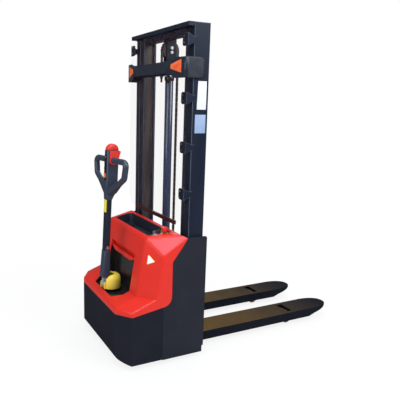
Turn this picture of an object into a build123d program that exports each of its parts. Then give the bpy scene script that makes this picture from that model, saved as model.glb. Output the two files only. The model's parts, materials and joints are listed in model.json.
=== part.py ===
from build123d import *
import math
import os

# Electric stacker, in millimetres. X runs from the skirt's front face to the fork tips, Y to the
# operator's left, Z up from the floor. Each piece is moved to the middle of the length when it is saved.

# Overall sizes
LENGTH = 1710
WIDTH = 790
MAST_TOP = 1967
SHEET = 3
RUN_GAP = 0.05
BODY_GAP = 0.4

# Skirt cover
CORNER_RUN = 109
CORNER_DEPTH = 63
SKIRT_SEAM = 261
SKIRT_TOP_FRONT = 328
SKIRT_TOP_CORNER = 336
SKIRT_TOP_SEAM = 367
SKIRT_BOTTOM = 36
SKIRT_FRONT_BOTTOM = 68
CURVE_STEPS = 6

# Side panels
PANEL_REAR = 541
PANEL_TOP = 769
PANEL_BOTTOM = 33
PANEL_NECK = 317
PANEL_NECK_LOW = 423
PANEL_NECK_HIGH = 634
PANEL_SLOPE_END = 417
PANEL_FOOT_STEP = 9
PANEL_FOOT_STEP_TOP = 73
PANEL_CORNER = 15
PANEL_GAP = 1.5

# Hood
HOOD_WALL = 6
LEDGE_FOOT_X = 132
LEDGE_FOOT_Z = 414
LEDGE_SLOPE = 0.37
LEDGE_SIDE_FALL = 0.244
LEDGE_ROUND = 18
CORNER_ROUND = 9
FRONT_LEAN = 0.163
SIDE_SWEEP = 85
BROW_ROUND = 28
TOP_REAR_X = 378
TOP_REAR_Z = 786
TOP_SLOPE = 0.111
WING_INSET = 35
FACET_HIGH_X = 203
FACET_HIGH_Z = 738
FACET_HIGH_INSET = 84
FACET_LOW_X = 247
FACET_LOW_Z = 662
FACET_REAR_X = 408
FACET_REAR_Z = 763
FACET_REAR_INSET = 3
FACET_ROUND = 30

# Recess in the hood, with its liner
RECESS_FRONT_X = 31
RECESS_FRONT_HALF = 140
RECESS_SIDE_X = 87
RECESS_HALF = 190
RECESS_TOP = 642
FLAP_LOW_Z = 584
FLAP_HIGH_Z = 608
FLAP_LOW_HALF = 121
FLAP_STEP = 4
FLAP_DEPTH = 35
FLAP_SIDE_GAP = 2
GROOVE_SIDE_GAP = 4
GROOVE_DEPTH = 29
LINER_WALL = 4
LINER_FLOOR_TOP = 368
LINER_BACK_X = 178
LINER_BACK_LEAN = 0.1
LINER_SIDE_TOP = 575
LINER_BACK_TOP = 640

# Storage tray in the hood's top
TRAY_REAR_X = 354
TRAY_REAR_INSET = 97
TRAY_FRONT_X = 219
TRAY_FRONT_INSET = 136
TRAY_CORNER = 20
TRAY_DEPTH = 78
TRAY_FLANGE = 8
TRAY_DECK_DROP = 10
TRAY_DECK_INSET = 248
CUP_RADIUS = 44
CUP_DEPTH = 22

# Controls on the tray's deck
STOP_X = 328
STOP_INSET = 136
STOP_HEAD_RADIUS = 19
STOP_HEAD_HEIGHT = 24
STOP_ROUND = 3
STOP_STEM_RADIUS = 9
STOP_HEIGHT = 30
STOP_TRAVEL = 5
KEY_X = 268
KEY_INSET = 151
KEY_RING_RADIUS = 12
KEY_STEM_RADIUS = 5
KEY_BOW_WIDTH = 22
KEY_BOW_HEIGHT = 20
KEY_BLADE = 4
METER_X = 322
METER_INSET = 183
METER_RADIUS = 22

# Base frame
BULKHEAD_FRONT = 408
BULKHEAD_TOP = 740
FRAME_PLATE = 12
RAIL_LOW = 165
RAIL_HIGH = 325
DECK_PLATE = 10
DECK_FRONT = 40
DECK_INNER = 190
BRIDGE_LOW = 285
BRIDGE_INSET = 55

# Mast
CHANNEL_FRONT = 420
CHANNEL_DEPTH = 100
MAST_INSET = 15
CHANNEL_WIDTH = 54
CHANNEL_WEB = 12
CHANNEL_FLANGE = 14
FOOT_BEAM_LOW = 28
FOOT_BEAM_HIGH = 60
INNER_FRONT = 426
INNER_DEPTH = 88
INNER_WIDTH = 50
INNER_WEB = 9
INNER_WEB_SHIFT = 1.5
INNER_FLANGE = 12
INNER_LOW = 75
INNER_TOP_DROP = 12
MAST_SIDE_GAP = 3
ROLLER_GAP = 0.3
ROLLER_SIDE_GAP = 2
ROLLER_STUB_RADIUS = 14
UPPER_ROLLER_DROP = 77
LOWER_ROLLER_Z = 115
CARRIAGE_ROLLER_LOW_Z = 165
CARRIAGE_ROLLER_HIGH_Z = 430
TOP_BEAM_DEPTH = 40
TOP_BEAM_HEIGHT = 24
TOP_BEAM_NOTCH_GAP = 12
CROSS_DROP = 192
CROSS_HEIGHT = 80
CROSS_PLATE = 10
CROSS_STAND_OFF = 14
CROSS_FOOT_GAP = 5
INNER_BEAM_HEIGHT = 38
INNER_FOOT_LOW = 84
INNER_FOOT_HIGH = 112

# Lift cylinder, pulley and chain
BARREL_RADIUS = 25.5
BARREL_BORE = 20.5
ROD_SHOWING = 100
BARREL_FLOOR = 15
GLAND_RADIUS = 30
GLAND_HEIGHT = 26
ROD_RADIUS = 18
PULLEY_STAND = 80
PISTON_LOW = 130
PISTON_HEIGHT = 40
PULLEY_DROP = 103
PULLEY_PITCH = 55
PULLEY_FLANGE_RADIUS = 55
PULLEY_SHIFT = 2
PULLEY_FLANGE = 4
PULLEY_AXLE_RADIUS = 10
CHAIN_DEPTH = 12
CHAIN_HALF = 9
CHAIN_SIDE_GAP = 0.5
BRACKET_DEPTH = 66
BRACKET_PLATE = 8
BRACKET_FLOOR = 12
ANCHOR_RISE = 50
ANCHOR_HANG = 35
ANCHOR_RADIUS = 6
ANCHOR_NUT_RADIUS = 10.2
CHAIN_LUG_TOP = 310

# Mast cover, screen and brackets
COVER_FRONT = 361
COVER_BOW = 25
COVER_FLAT_HALF = 236
COVER_SWEEP = 400
COVER_SIDE_GAP = 13
COVER_REAR = 480
COVER_DROP = 184
COVER_HEIGHT = 112
COVER_ARCH = 29
COVER_SAG = 17
COVER_MIDDLE_INSET = 168
COVER_END_INSET = 93
COVER_ROUND = 20
COVER_WING_ROUND = 24
SCREEN_FRONT = 374
SCREEN_THICK = 5
SCREEN_LOW = 840
SCREEN_DROP = 37
SCREEN_CORNER = 90
STIFFENER_HALF = 280
STIFFENER_LOW = 826
STIFFENER_HIGH = 850
STIFFENER_DEPTH = 12
SCREEN_BRACKET_DROPS = (945, 677, 404, 93)
SCREEN_BRACKET_HEIGHT = 67
SCREEN_BRACKET_WIDTH = 60
SCREEN_BRACKET_ROUND = 16
STRAP_LENGTH = 16
SCREW_RADIUS = 5
SCREW_HEAD = 3.5
SCREW_SPACING = 34

# Fork carriage, forks, legs and load rollers
CARRIAGE_PLATE = 14
CARRIAGE_SIDE_GAP = 14
CARRIAGE_FRONT = 440
CARRIAGE_REAR = 560
CARRIAGE_LOW = 118
CARRIAGE_HIGH = 470
CARRIAGE_BAR = 22
CARRIAGE_BAR_HEIGHT = 70
FORK_INNER = 111
FORK_OUTER = 282
FORK_TOP = 98
FORK_PLATE = 8
FORK_WALL_LOW = 38.5
FORK_SHANK = 20
FORK_SHANK_TOP = 480
FORK_NOSE = 145
FORK_NOSE_LOW = 56
FORK_NOSE_TIP = 24
FORK_TIP_LOW = 86
FORK_SLOT_LENGTH = 45
LEG_INNER = 133
LEG_OUTER = 259
LEG_LOW = 28
LEG_TOP = 80
LEG_END = 1400
LEG_WALL = 10
LOAD_ROLLER_X = 1348
LOAD_ROLLER_RADIUS = 40
LOAD_ROLLER_WIDTH = 76
LOAD_AXLE_RADIUS = 10

# Drive unit
STEER_X = 112
STEER_ANGLE = 7
DRIVE_RADIUS = 100
DRIVE_WIDTH = 60
DRIVE_AXLE_RADIUS = 14
DRIVE_ARM = 12
DRIVE_ARM_GAP = 4
DRIVE_CROWN_LOW = 206
DRIVE_CROWN = 22
DRIVE_STEM_RADIUS = 50
BEARING_RADIUS = 62
MOTOR_RADIUS = 47
MOTOR_TOP = 356
NECK_RADIUS = 38
NECK_CLEAR = 2

# Tiller
PIVOT_X = 40
PIVOT_Z = 415
TILLER_LEAN = 2.6
DOME_X = 89
DOME_RADIUS = 59
DOME_LOW = 382
DOME_TOP = 474
DOME_ROUND = 34
DOME_SLOT_HALF = 27
DOME_SLOT_TOP_HALF = 31
DOME_SLOT_BACK = 96
DOME_STEP_DROP = 8
DOME_PLATE = 4
EAR_INNER = 20
EAR_PLATE = 6
TILLER_PIN_RADIUS = 8
BOSS_RADIUS = 15
TONGUE_HALF = 9
TUBE_DEPTH = 34
TUBE_WIDTH = 48
TUBE_WALL = 3.5
SLEEVE_LOW = 460
SLEEVE_TOP = 632
SLEEVE_DEPTH = 54
SLEEVE_TOP_DEPTH = 38
SLEEVE_WIDTH = 53
HEAD_LOW = 952
HEAD_NECK_TOP = 1015
HEAD_NECK_MARGIN = 2
HEAD_TOP = 1252
HEAD_X = 53
HEAD_DEPTH = 80
HEAD_HALF = 23
HEAD_ROUND = 11
GRIP_X = 48
GRIP_Z = 1193
GRIP_RADIUS = 18
LOOP_HALF = 187
LOOP_WAIST_HALF = 172
LOOP_WAIST_Z = 1098
LOOP_FOOT_Z = 992
LOOP_FOOT_HALF = 10
LOOP_BEND = 26
WEB_REACH = 118
WEB_SINK = 5
WEB_MARGIN = 1
WEB_LOW = 980
WEB_FOOT_SIDE = 20
WEB_FOOT_RISE = 14
WEB_FRONT_TOP = 1024
WEB_REAR_TOP = 1058
WEB_ROUND = 8

# Controls on the tiller head
CAP_TOP = 1291
CAP_LOW = 1258
CAP_MOUTH = 3
CAP_ROUND = 15
CAP_TRAVEL = 6
CAP_STEM_RADIUS = 8
PADDLE_THICK = 9
PADDLE_FRONT = 14
PADDLE_BACK = 85
PADDLE_TOP = 1250
PADDLE_LOBE = 21
PADDLE_DROP = 6
PADDLE_HOOK = 14
PADDLE_ROUND = 6
HORN_Z = 1210
HORN_RADIUS = 7
HORN_PROUD = 5
ROCKER_Z = 1160
ROCKER_HEIGHT = 42
ROCKER_HALF = 9
ROCKER_PROUD = 5
ROCKER_PIN_RADIUS = 2
ROCKER_PIN_REACH = 4
CREEP_Z = 1100
CREEP_HEIGHT = 28
CREEP_HALF = 9
CREEP_PROUD = 6
BUTTON_TRAVEL = 4
BUTTON_DEPTH = 8

# Castors
CASTOR_X = 155
CASTOR_INSET = 113
CASTOR_RADIUS = 60
CASTOR_WIDTH = 40
CASTOR_TRAIL = 35
CASTOR_STEM_RADIUS = 12
CASTOR_PLATE = 10
CASTOR_ARM = 6
CASTOR_ARM_GAP = 3
CASTOR_AXLE_RADIUS = 6

# Batteries, pump and controller
BATTERY_LENGTH = 326
BATTERY_WIDTH = 172
BATTERY_HEIGHT = 220
BATTERY_GAP = 8
TANK_WIDTH = 150
TANK_DEPTH = 110
TANK_HEIGHT = 80
PUMP_MOTOR_RADIUS = 38
PUMP_MOTOR_LENGTH = 120
VALVE_BLOCK = 50
CONTROLLER_WIDTH = 140
CONTROLLER_DEPTH = 50
CONTROLLER_HEIGHT = 90

# Places worked out from the sizes above
HALF = WIDTH / 2
FRONT_FLAT = HALF - CORNER_RUN
CREASE_HALF = FRONT_FLAT
TRAY_REAR_HALF = HALF - TRAY_REAR_INSET
TRAY_FRONT_HALF = HALF - TRAY_FRONT_INSET
TRAY_DECK_REAR_Y = TRAY_DECK_INSET - HALF
STOP_Y = STOP_INSET - HALF
KEY_Y = KEY_INSET - HALF
METER_Y = METER_INSET - HALF
BRIDGE_HALF = HALF - BRIDGE_INSET
CASTOR_Y = HALF - CASTOR_INSET
CHANNEL_HALF = HALF - MAST_INSET
COVER_HALF = CHANNEL_HALF + COVER_SIDE_GAP
COVER_END_HALF = COVER_HALF - COVER_END_INSET
COVER_MIDDLE_HALF = COVER_HALF - COVER_MIDDLE_INSET
SIDE_INNER = HALF - SHEET
INNER_TOP = MAST_TOP - INNER_TOP_DROP
UPPER_ROLLER_Z = MAST_TOP - UPPER_ROLLER_DROP
CROSS_HIGH = MAST_TOP - CROSS_DROP
CROSS_LOW = CROSS_HIGH - CROSS_HEIGHT
PULLEY_Z = INNER_TOP - PULLEY_DROP
ROD_TOP = PULLEY_Z - PULLEY_STAND
BARREL_TOP = ROD_TOP - ROD_SHOWING
ANCHOR_TOP = CROSS_LOW + ANCHOR_RISE
ANCHOR_LOW = CROSS_LOW - ANCHOR_HANG
COVER_TOP = MAST_TOP - COVER_DROP
COVER_LOW = COVER_TOP - COVER_HEIGHT
COVER_MIDDLE_LOW = COVER_LOW + COVER_ARCH
COVER_MIDDLE_TOP = COVER_TOP - COVER_SAG
SCREEN_TOP = MAST_TOP - SCREEN_DROP
SCREEN_BRACKET_Z = [MAST_TOP - drop for drop in SCREEN_BRACKET_DROPS]
REACH = 2.5 * MAST_TOP
CHANNEL_REAR = CHANNEL_FRONT + CHANNEL_DEPTH
CHANNEL_TIP = CHANNEL_HALF - CHANNEL_WIDTH
INNER_REAR = INNER_FRONT + INNER_DEPTH
INNER_OUT = CHANNEL_TIP - MAST_SIDE_GAP
INNER_IN = INNER_OUT - INNER_WIDTH
WEB_OUT = (INNER_OUT + INNER_IN) / 2 + INNER_WEB / 2 + INNER_WEB_SHIFT
WEB_IN = WEB_OUT - INNER_WEB
MAST_MID = CHANNEL_FRONT + CHANNEL_DEPTH / 2
UPPER_ROLLER_OUT = INNER_OUT - ROLLER_SIDE_GAP
UPPER_ROLLER_IN = WEB_OUT + ROLLER_SIDE_GAP
LOWER_ROLLER_IN = CHANNEL_TIP + 2 * ROLLER_SIDE_GAP
LOWER_ROLLER_OUT = CHANNEL_HALF - CHANNEL_WEB - 4 * ROLLER_SIDE_GAP
CARRIAGE_ROLLER_IN = INNER_IN + ROLLER_SIDE_GAP
CARRIAGE_ROLLER_OUT = WEB_IN - ROLLER_SIDE_GAP
INNER_ROLLER_RADIUS = INNER_DEPTH / 2 - INNER_FLANGE - ROLLER_GAP
OUTER_ROLLER_RADIUS = CHANNEL_DEPTH / 2 - CHANNEL_FLANGE - ROLLER_GAP
PULLEY_HALF = CHAIN_HALF + CHAIN_SIDE_GAP
BRACKET_INNER = PULLEY_HALF + PULLEY_FLANGE + BODY_GAP
CARRIAGE_OUT = INNER_IN - CARRIAGE_SIDE_GAP
CARRIAGE_IN = CARRIAGE_OUT - CARRIAGE_PLATE
CASTOR_WHEEL_X = CASTOR_X + CASTOR_TRAIL
PULLEY_X = MAST_MID + PULLEY_SHIFT
CHAIN_FRONT_X = PULLEY_X - PULLEY_PITCH
CHAIN_REAR_X = PULLEY_X + PULLEY_PITCH
BRIDGE_TOP = BRIDGE_LOW + FRAME_PLATE
DECK_TOP = RAIL_LOW + DECK_PLATE
SCREEN_REAR = SCREEN_FRONT + SCREEN_THICK
FORK_MID = (FORK_INNER + FORK_OUTER) / 2
LEG_MID = (LEG_INNER + LEG_OUTER) / 2
HEAD_FACE = HEAD_X - HEAD_DEPTH / 2
TRAY_PLANE = Plane(
    origin=(TRAY_REAR_X, 0, TOP_REAR_Z - TOP_SLOPE * (TOP_REAR_X - TRAY_REAR_X)),
    x_dir=(1, 0, TOP_SLOPE),
    z_dir=(-TOP_SLOPE, 0, 1),
)
TRAY_SLANT = math.hypot(1, TOP_SLOPE)
LOW = (Align.CENTER, Align.CENTER, Align.MIN)


# Basic shapes
def block(x0, x1, y0, y1, z0, z1):
    return Pos(x0, y0, z0) * Box(x1 - x0, y1 - y0, z1 - z0, align=(Align.MIN, Align.MIN, Align.MIN))


def rod_x(y, z, radius, x0, x1):
    return Pos(x0, y, z) * Rot(0, 90, 0) * Cylinder(radius, x1 - x0, align=LOW)


def rod_y(x, z, radius, y0, y1):
    return Pos(x, y0, z) * Rot(-90, 0, 0) * Cylinder(radius, y1 - y0, align=LOW)


def rod_z(x, y, radius, z0, z1):
    return Pos(x, y, z0) * Cylinder(radius, z1 - z0, align=LOW)


def plate_xy(points, z0, z1):
    outline = Polyline(*[(x, y, z0) for x, y in points], close=True)
    return extrude(make_face(outline), amount=z1 - z0, dir=(0, 0, 1))


def plate_xz(points, y0, y1):
    outline = Polyline(*[(x, y0, z) for x, z in points], close=True)
    return extrude(make_face(outline), amount=y1 - y0, dir=(0, 1, 0))


def plate_yz(points, x0, x1):
    outline = Polyline(*[(x0, y, z) for y, z in points], close=True)
    return extrude(make_face(outline), amount=x1 - x0, dir=(1, 0, 0))


def beyond(point, normal, inset=0):
    """Everything on the far side of a plane that is moved back by the inset."""
    outward = Vector(*normal).normalized()
    plane = Plane(origin=Vector(*point) - outward * inset, z_dir=outward)
    return extrude(plane * Rectangle(REACH, REACH), amount=REACH)


def mirrored(shape):
    return mirror(shape, about=Plane.XZ)


def both_sides(shape):
    return [shape, mirrored(shape)]


def rounded(shape, radius, chosen):
    return fillet([edge for edge in shape.edges() if chosen(edge)], radius)


def edges_along(direction):
    """A test for straight edges that run along a direction."""
    wanted = Vector(*direction).normalized()

    def chosen(edge):
        if edge.geom_type != GeomType.LINE:
            return False
        return abs(abs((edge % 0.5).dot(wanted)) - 1) < 1e-6

    return chosen


def save(name, *pieces):
    solids = [solid for piece in pieces for solid in piece.solids()]
    export_step(Pos(-LENGTH / 2, 0, 0) * Compound(solids), f"parts/{name}.step")


os.makedirs("parts", exist_ok=True)


def quarter_turn():
    """Angles of a quarter circle, for outlines that are drawn point by point."""
    return [math.pi / 2 * step / CURVE_STEPS for step in range(CURVE_STEPS + 1)]


# Outline of the skirt and the hood's lower band, seen from above
def front_outline(inset, rear):
    lean = math.atan2(CORNER_DEPTH, HALF - FRONT_FLAT)
    flat = FRONT_FLAT - inset * math.tan((math.pi / 2 - lean) / 2)
    depth = CORNER_DEPTH + inset * math.tan(lean / 2)
    side = HALF - inset
    right = [(rear, -side), (depth, -side), (inset, -flat)]
    return right + [(x, -y) for x, y in reversed(right)]


def skirt_top_line(drop):
    """Side view of the seam between skirt and hood, from the front to the rear seam."""
    heights = [(0, SKIRT_TOP_FRONT), (CORNER_DEPTH, SKIRT_TOP_CORNER), (SKIRT_SEAM, SKIRT_TOP_SEAM)]
    return [(x, z - drop) for x, z in heights]


def skirt_cover():
    wall = plate_xy(front_outline(0, SKIRT_SEAM), 0, SKIRT_TOP_SEAM)
    wall -= plate_xy(front_outline(SHEET, SKIRT_SEAM + SHEET), 0, SKIRT_TOP_SEAM)
    rise = SKIRT_FRONT_BOTTOM - SKIRT_BOTTOM
    lower = [
        (CORNER_DEPTH * (1 - math.cos(a)), SKIRT_FRONT_BOTTOM - rise * math.sin(a)) for a in quarter_turn()
    ]
    side_view = skirt_top_line(0)[::-1] + lower + [(SKIRT_SEAM, SKIRT_BOTTOM)]
    return wall & plate_xz(side_view, -HALF, HALF)


def panel_outline(gap):
    """Side panel seen from the side, grown forward by a gap for the hood's cut."""
    front = SKIRT_SEAM - gap
    neck = PANEL_NECK - gap
    run = neck - front
    drop = PANEL_NECK_LOW - SKIRT_TOP_SEAM
    curve = [(neck - run * (1 - math.cos(a)), PANEL_NECK_LOW - drop * math.sin(a)) for a in quarter_turn()]
    return [
        (front, PANEL_BOTTOM),
        (PANEL_REAR - PANEL_FOOT_STEP, PANEL_BOTTOM),
        (PANEL_REAR - PANEL_FOOT_STEP, PANEL_FOOT_STEP_TOP),
        (PANEL_REAR, PANEL_FOOT_STEP_TOP),
        (PANEL_REAR, PANEL_TOP),
        (PANEL_SLOPE_END - gap, PANEL_TOP),
        (neck, PANEL_NECK_HIGH),
    ] + curve


def side_panel():
    panel = plate_xz(panel_outline(0), SIDE_INNER, HALF)

    def top_rear(edge):
        middle = edge.center()
        return edges_along((0, 1, 0))(edge) and middle.X > PANEL_REAR - 1 and middle.Z > PANEL_TOP - 1

    return rounded(panel, PANEL_CORNER, top_rear)


# Hood
def lower_band(inset):
    band = plate_xy(front_outline(inset, TOP_REAR_X), 0, TOP_REAR_Z)
    foot = (LEDGE_FOOT_X, 0, LEDGE_FOOT_Z)
    band -= beyond(foot, (-LEDGE_SLOPE, 0, 1), inset)
    for side in (1, -1):
        crease = (LEDGE_FOOT_X, side * CREASE_HALF, LEDGE_FOOT_Z)
        band -= beyond(crease, (-LEDGE_SLOPE, side * LEDGE_SIDE_FALL, 1), inset)
    return band


def brow_edge(edge):
    """Edges round the upper body's front face and its swept sides, but not their feet."""
    middle = edge.center()
    return middle.Z > LEDGE_FOOT_Z and middle.X < TRAY_FRONT_X + BROW_ROUND


def facet_plane(hand):
    """A point and the upward normal of one side's facet."""
    high = Vector(FACET_HIGH_X, hand * (HALF - FACET_HIGH_INSET), FACET_HIGH_Z)
    low = Vector(FACET_LOW_X, hand * HALF, FACET_LOW_Z)
    rear = Vector(FACET_REAR_X, hand * (HALF - FACET_REAR_INSET), FACET_REAR_Z)
    normal = (low - high).cross(rear - high)
    if normal.Z < 0:
        normal = normal * -1
    return low, normal


def facet_cut(body, inset):
    for hand in (1, -1):
        place, normal = facet_plane(hand)
        body -= beyond(tuple(place), tuple(normal), inset)
    return body


def facet_top_edge(edge):
    """Edges where the facets meet the hood's sloping top."""
    top_normal = Vector(-TOP_SLOPE, 0, 1)
    return any(edges_along(tuple(facet_plane(hand)[1].cross(top_normal)))(edge) for hand in (1, -1))


def upper_body(inset, front_inset, brow=0):
    side = HALF - inset
    body = plate_xy(
        [
            (0, -side),
            (0, side),
            (PANEL_SLOPE_END, side),
            (TOP_REAR_X, HALF - WING_INSET),
            (TOP_REAR_X, WING_INSET - HALF),
            (PANEL_SLOPE_END, -side),
        ],
        SKIRT_TOP_FRONT,
        MAST_TOP / 2,
    )
    body -= beyond((LEDGE_FOOT_X, 0, LEDGE_FOOT_Z), (-1, 0, FRONT_LEAN), front_inset)
    body -= beyond((TOP_REAR_X, 0, TOP_REAR_Z), (-TOP_SLOPE, 0, 1), inset)
    sweep_run = HALF - CREASE_HALF
    for hand in (1, -1):
        foot = (LEDGE_FOOT_X, hand * CREASE_HALF, LEDGE_FOOT_Z)
        body -= beyond(foot, (-1, hand * SIDE_SWEEP / sweep_run, FRONT_LEAN), inset)
    if not brow:
        return facet_cut(body, inset)
    body = facet_cut(rounded(body, brow, brow_edge), inset)
    return rounded(body, FACET_ROUND - inset, facet_top_edge)


def hood():
    band = lower_band(0)

    def ledge_edge(edge):
        middle = edge.center()
        at_side = abs(middle.Y) > HALF - 1
        return middle.Z > SKIRT_TOP_FRONT and (middle.X < LEDGE_FOOT_X / 2 or at_side)

    def upright_corner(edge):
        return edges_along((0, 0, 1))(edge) and edge.center().X < LEDGE_FOOT_X

    band = rounded(band, LEDGE_ROUND, ledge_edge)
    band = rounded(band, CORNER_ROUND, upright_corner)
    form = band + upper_body(0, 0, BROW_ROUND)
    hollow = lower_band(HOOD_WALL) + upper_body(HOOD_WALL, HOOD_WALL, BROW_ROUND - HOOD_WALL)
    hollow += block(
        LEDGE_FOOT_X + LEDGE_ROUND, TOP_REAR_X + REACH, -RECESS_HALF, RECESS_HALF, 0, LINER_SIDE_TOP
    )
    rear_inset = HALF - WING_INSET
    bay = block(BULKHEAD_FRONT - BATTERY_WIDTH, PANEL_REAR, -rear_inset, rear_inset, 0, BULKHEAD_TOP)
    hollow += facet_cut(bay, HOOD_WALL)
    shell = form - hollow
    flap = upper_body(0, 0) - upper_body(0, FLAP_DEPTH)
    flap_half = RECESS_HALF - FLAP_SIDE_GAP
    groove_half = RECESS_HALF - GROOVE_SIDE_GAP
    shell += flap & block(0, REACH, -flap_half, flap_half, FLAP_LOW_Z, RECESS_TOP + FLAP_DEPTH)
    shell -= recess_cut()
    groove = upper_body(-1, -1) - upper_body(0, GROOVE_DEPTH)
    shell -= groove & block(0, REACH, -groove_half, groove_half, FLAP_HIGH_Z, RECESS_TOP)
    step = upper_body(-1, -1) - upper_body(0, FLAP_STEP)
    shell -= step & block(0, REACH, -groove_half, groove_half, FLAP_LOW_Z, FLAP_HIGH_Z)
    shell -= tray_opening()
    under_skirt = skirt_top_line(0) + [(SKIRT_SEAM, 0), (-SHEET, 0), (-SHEET, SKIRT_TOP_FRONT)]
    shell -= plate_xz(under_skirt, -WIDTH, WIDTH)
    shell -= block(SKIRT_SEAM, REACH, -WIDTH, WIDTH, 0, SKIRT_TOP_SEAM)
    for hand in both_sides(plate_xz(panel_outline(PANEL_GAP), SIDE_INNER - 2 * HOOD_WALL, HALF + SHEET)):
        shell -= hand
    return shell


def recess_plan(inset, rear):
    side = RECESS_HALF - inset
    front = RECESS_FRONT_HALF - inset / 2
    right = [(rear, -side), (RECESS_SIDE_X + inset / 2, -side), (RECESS_FRONT_X + inset, -front)]
    return right + [(x, -y) for x, y in reversed(right)]


def recess_cut():
    opening = plate_xy(recess_plan(0, TRAY_FRONT_X + FLAP_DEPTH), 0, RECESS_TOP)
    face = [
        (-RECESS_HALF, 0),
        (RECESS_HALF, 0),
        (RECESS_HALF, FLAP_HIGH_Z),
        (FLAP_LOW_HALF, FLAP_LOW_Z),
        (-FLAP_LOW_HALF, FLAP_LOW_Z),
        (-RECESS_HALF, FLAP_HIGH_Z),
    ]
    return opening & plate_yz(face, 0, REACH)


def recess_liner():
    back = (LINER_BACK_X, 0, LINER_FLOOR_TOP)
    back_normal = (1, 0, -LINER_BACK_LEAN)
    floor_low = LINER_FLOOR_TOP - LINER_WALL
    outer = plate_xy(recess_plan(0, REACH / 2), floor_low, LINER_BACK_TOP)
    outer -= beyond(back, back_normal, -LINER_WALL)
    inner = plate_xy(recess_plan(LINER_WALL, REACH / 2), LINER_FLOOR_TOP, REACH)
    inner -= beyond(back, back_normal)
    liner = outer - inner
    front_part = block(0, REACH, -HALF, HALF, LINER_SIDE_TOP, REACH) - beyond(back, back_normal)
    liner -= front_part
    trim = plate_xy(recess_plan(-1, REACH / 2), 0, REACH) - lower_band(1) - upper_body(1, 1)
    liner -= trim
    return liner - rod_z(STEER_X, 0, NECK_RADIUS + NECK_CLEAR, 0, LINER_BACK_TOP)


# Storage tray, drawn on the hood's sloping top
def on_tray(x, y):
    return ((x - TRAY_REAR_X) * TRAY_SLANT, y)


def tray_face(grow):
    rear_x, rear_y = on_tray(TRAY_REAR_X, TRAY_REAR_HALF)
    front_x, front_y = on_tray(TRAY_FRONT_X, TRAY_FRONT_HALF)
    outline = [(rear_x, -rear_y), (rear_x, rear_y), (front_x, front_y), (front_x, -front_y)]
    face = make_face(Polyline(*outline, close=True))
    face = fillet(face.vertices(), TRAY_CORNER)
    if grow:
        face = offset(face, grow)
    return face


def on_top(sketch, low, high):
    """A flat outline on the hood's top, as a solid between two heights above that plane."""
    lifted = TRAY_PLANE.offset(low) * sketch
    return extrude(lifted, amount=high - low, dir=tuple(TRAY_PLANE.z_dir))


def tray_opening():
    return on_top(tray_face(0), -HOOD_WALL * 2, HOOD_WALL * 2)


def tray_rod(x, y, radius, low, high):
    u, v = on_tray(x, y)
    return TRAY_PLANE * Pos(u, v, low) * Cylinder(radius, high - low, align=LOW)


def storage_tray():
    gap = BODY_GAP
    tub = on_top(tray_face(-gap), -TRAY_DEPTH, -1)
    tub += on_top(tray_face(TRAY_FLANGE), -HOOD_WALL - SHEET, -HOOD_WALL)
    inside = on_top(tray_face(-gap - SHEET), SHEET - TRAY_DEPTH, SHEET)
    corner = on_tray(TRAY_FRONT_X, -TRAY_FRONT_HALF)
    rear = on_tray(TRAY_REAR_X, TRAY_DECK_REAR_Y)
    along = Vector(rear[0] - corner[0], rear[1] - corner[1], 0)
    ahead = TRAY_PLANE.from_local_coords(Vector(*corner, 0))
    cross = TRAY_PLANE.from_local_coords(Vector(corner[0] - along.Y, corner[1] + along.X, 0)) - ahead
    near_side = beyond(tuple(ahead), tuple(cross * -1), SHEET)
    well = inside - near_side
    deck = (inside & near_side) - on_top(tray_face(0), -TRAY_DEPTH, -TRAY_DECK_DROP)
    tub -= well
    tub -= deck
    tub -= on_top(tray_face(-gap - SHEET), -TRAY_DEPTH, -TRAY_DECK_DROP - SHEET) & beyond(
        tuple(ahead), tuple(cross * -1)
    )
    cup_x = (TRAY_REAR_X + TRAY_FRONT_X) / 2
    cup_y = TRAY_FRONT_HALF - CUP_RADIUS - SHEET
    cup_low = SHEET - TRAY_DEPTH
    tub += tray_rod(cup_x, cup_y, CUP_RADIUS, cup_low, cup_low + CUP_DEPTH)
    tub -= tray_rod(cup_x, cup_y, CUP_RADIUS - SHEET, cup_low, cup_low + CUP_DEPTH)
    collar_low = -TRAY_DECK_DROP
    tub += tray_rod(STOP_X, STOP_Y, STOP_STEM_RADIUS + SHEET, collar_low, collar_low + STOP_TRAVEL)
    tub -= tray_rod(STOP_X, STOP_Y, STOP_STEM_RADIUS + RUN_GAP, -TRAY_DEPTH, 0)
    tub += tray_rod(KEY_X, KEY_Y, KEY_RING_RADIUS, collar_low, collar_low + SHEET)
    tub -= tray_rod(KEY_X, KEY_Y, KEY_STEM_RADIUS + RUN_GAP, -TRAY_DEPTH, 0)
    return tub


def stop_button():
    head_low = STOP_HEIGHT - STOP_HEAD_HEIGHT
    head = tray_rod(STOP_X, STOP_Y, STOP_HEAD_RADIUS, head_low, STOP_HEIGHT)
    top_rim = sorted(head.edges().filter_by(GeomType.CIRCLE), key=lambda edge: edge.center().Z)[-1]
    head = fillet(top_rim, STOP_ROUND)
    return head + tray_rod(STOP_X, STOP_Y, STOP_STEM_RADIUS, -2 * TRAY_DECK_DROP, head_low)


def ignition_key():
    ring_top = SHEET - TRAY_DECK_DROP
    stem = tray_rod(KEY_X, KEY_Y, KEY_STEM_RADIUS, -2 * TRAY_DECK_DROP, ring_top + SHEET)
    u, v = on_tray(KEY_X, KEY_Y)
    bow = TRAY_PLANE * Pos(u, v, ring_top + SHEET) * Box(KEY_BOW_WIDTH, KEY_BLADE, KEY_BOW_HEIGHT, align=LOW)
    return stem + bow


def battery_meter():
    low = -TRAY_DECK_DROP
    case = tray_rod(METER_X, METER_Y, METER_RADIUS, low, low + SHEET)
    return case - tray_rod(METER_X, METER_Y, METER_RADIUS - SHEET, low + SHEET / 2, low + SHEET)


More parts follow.
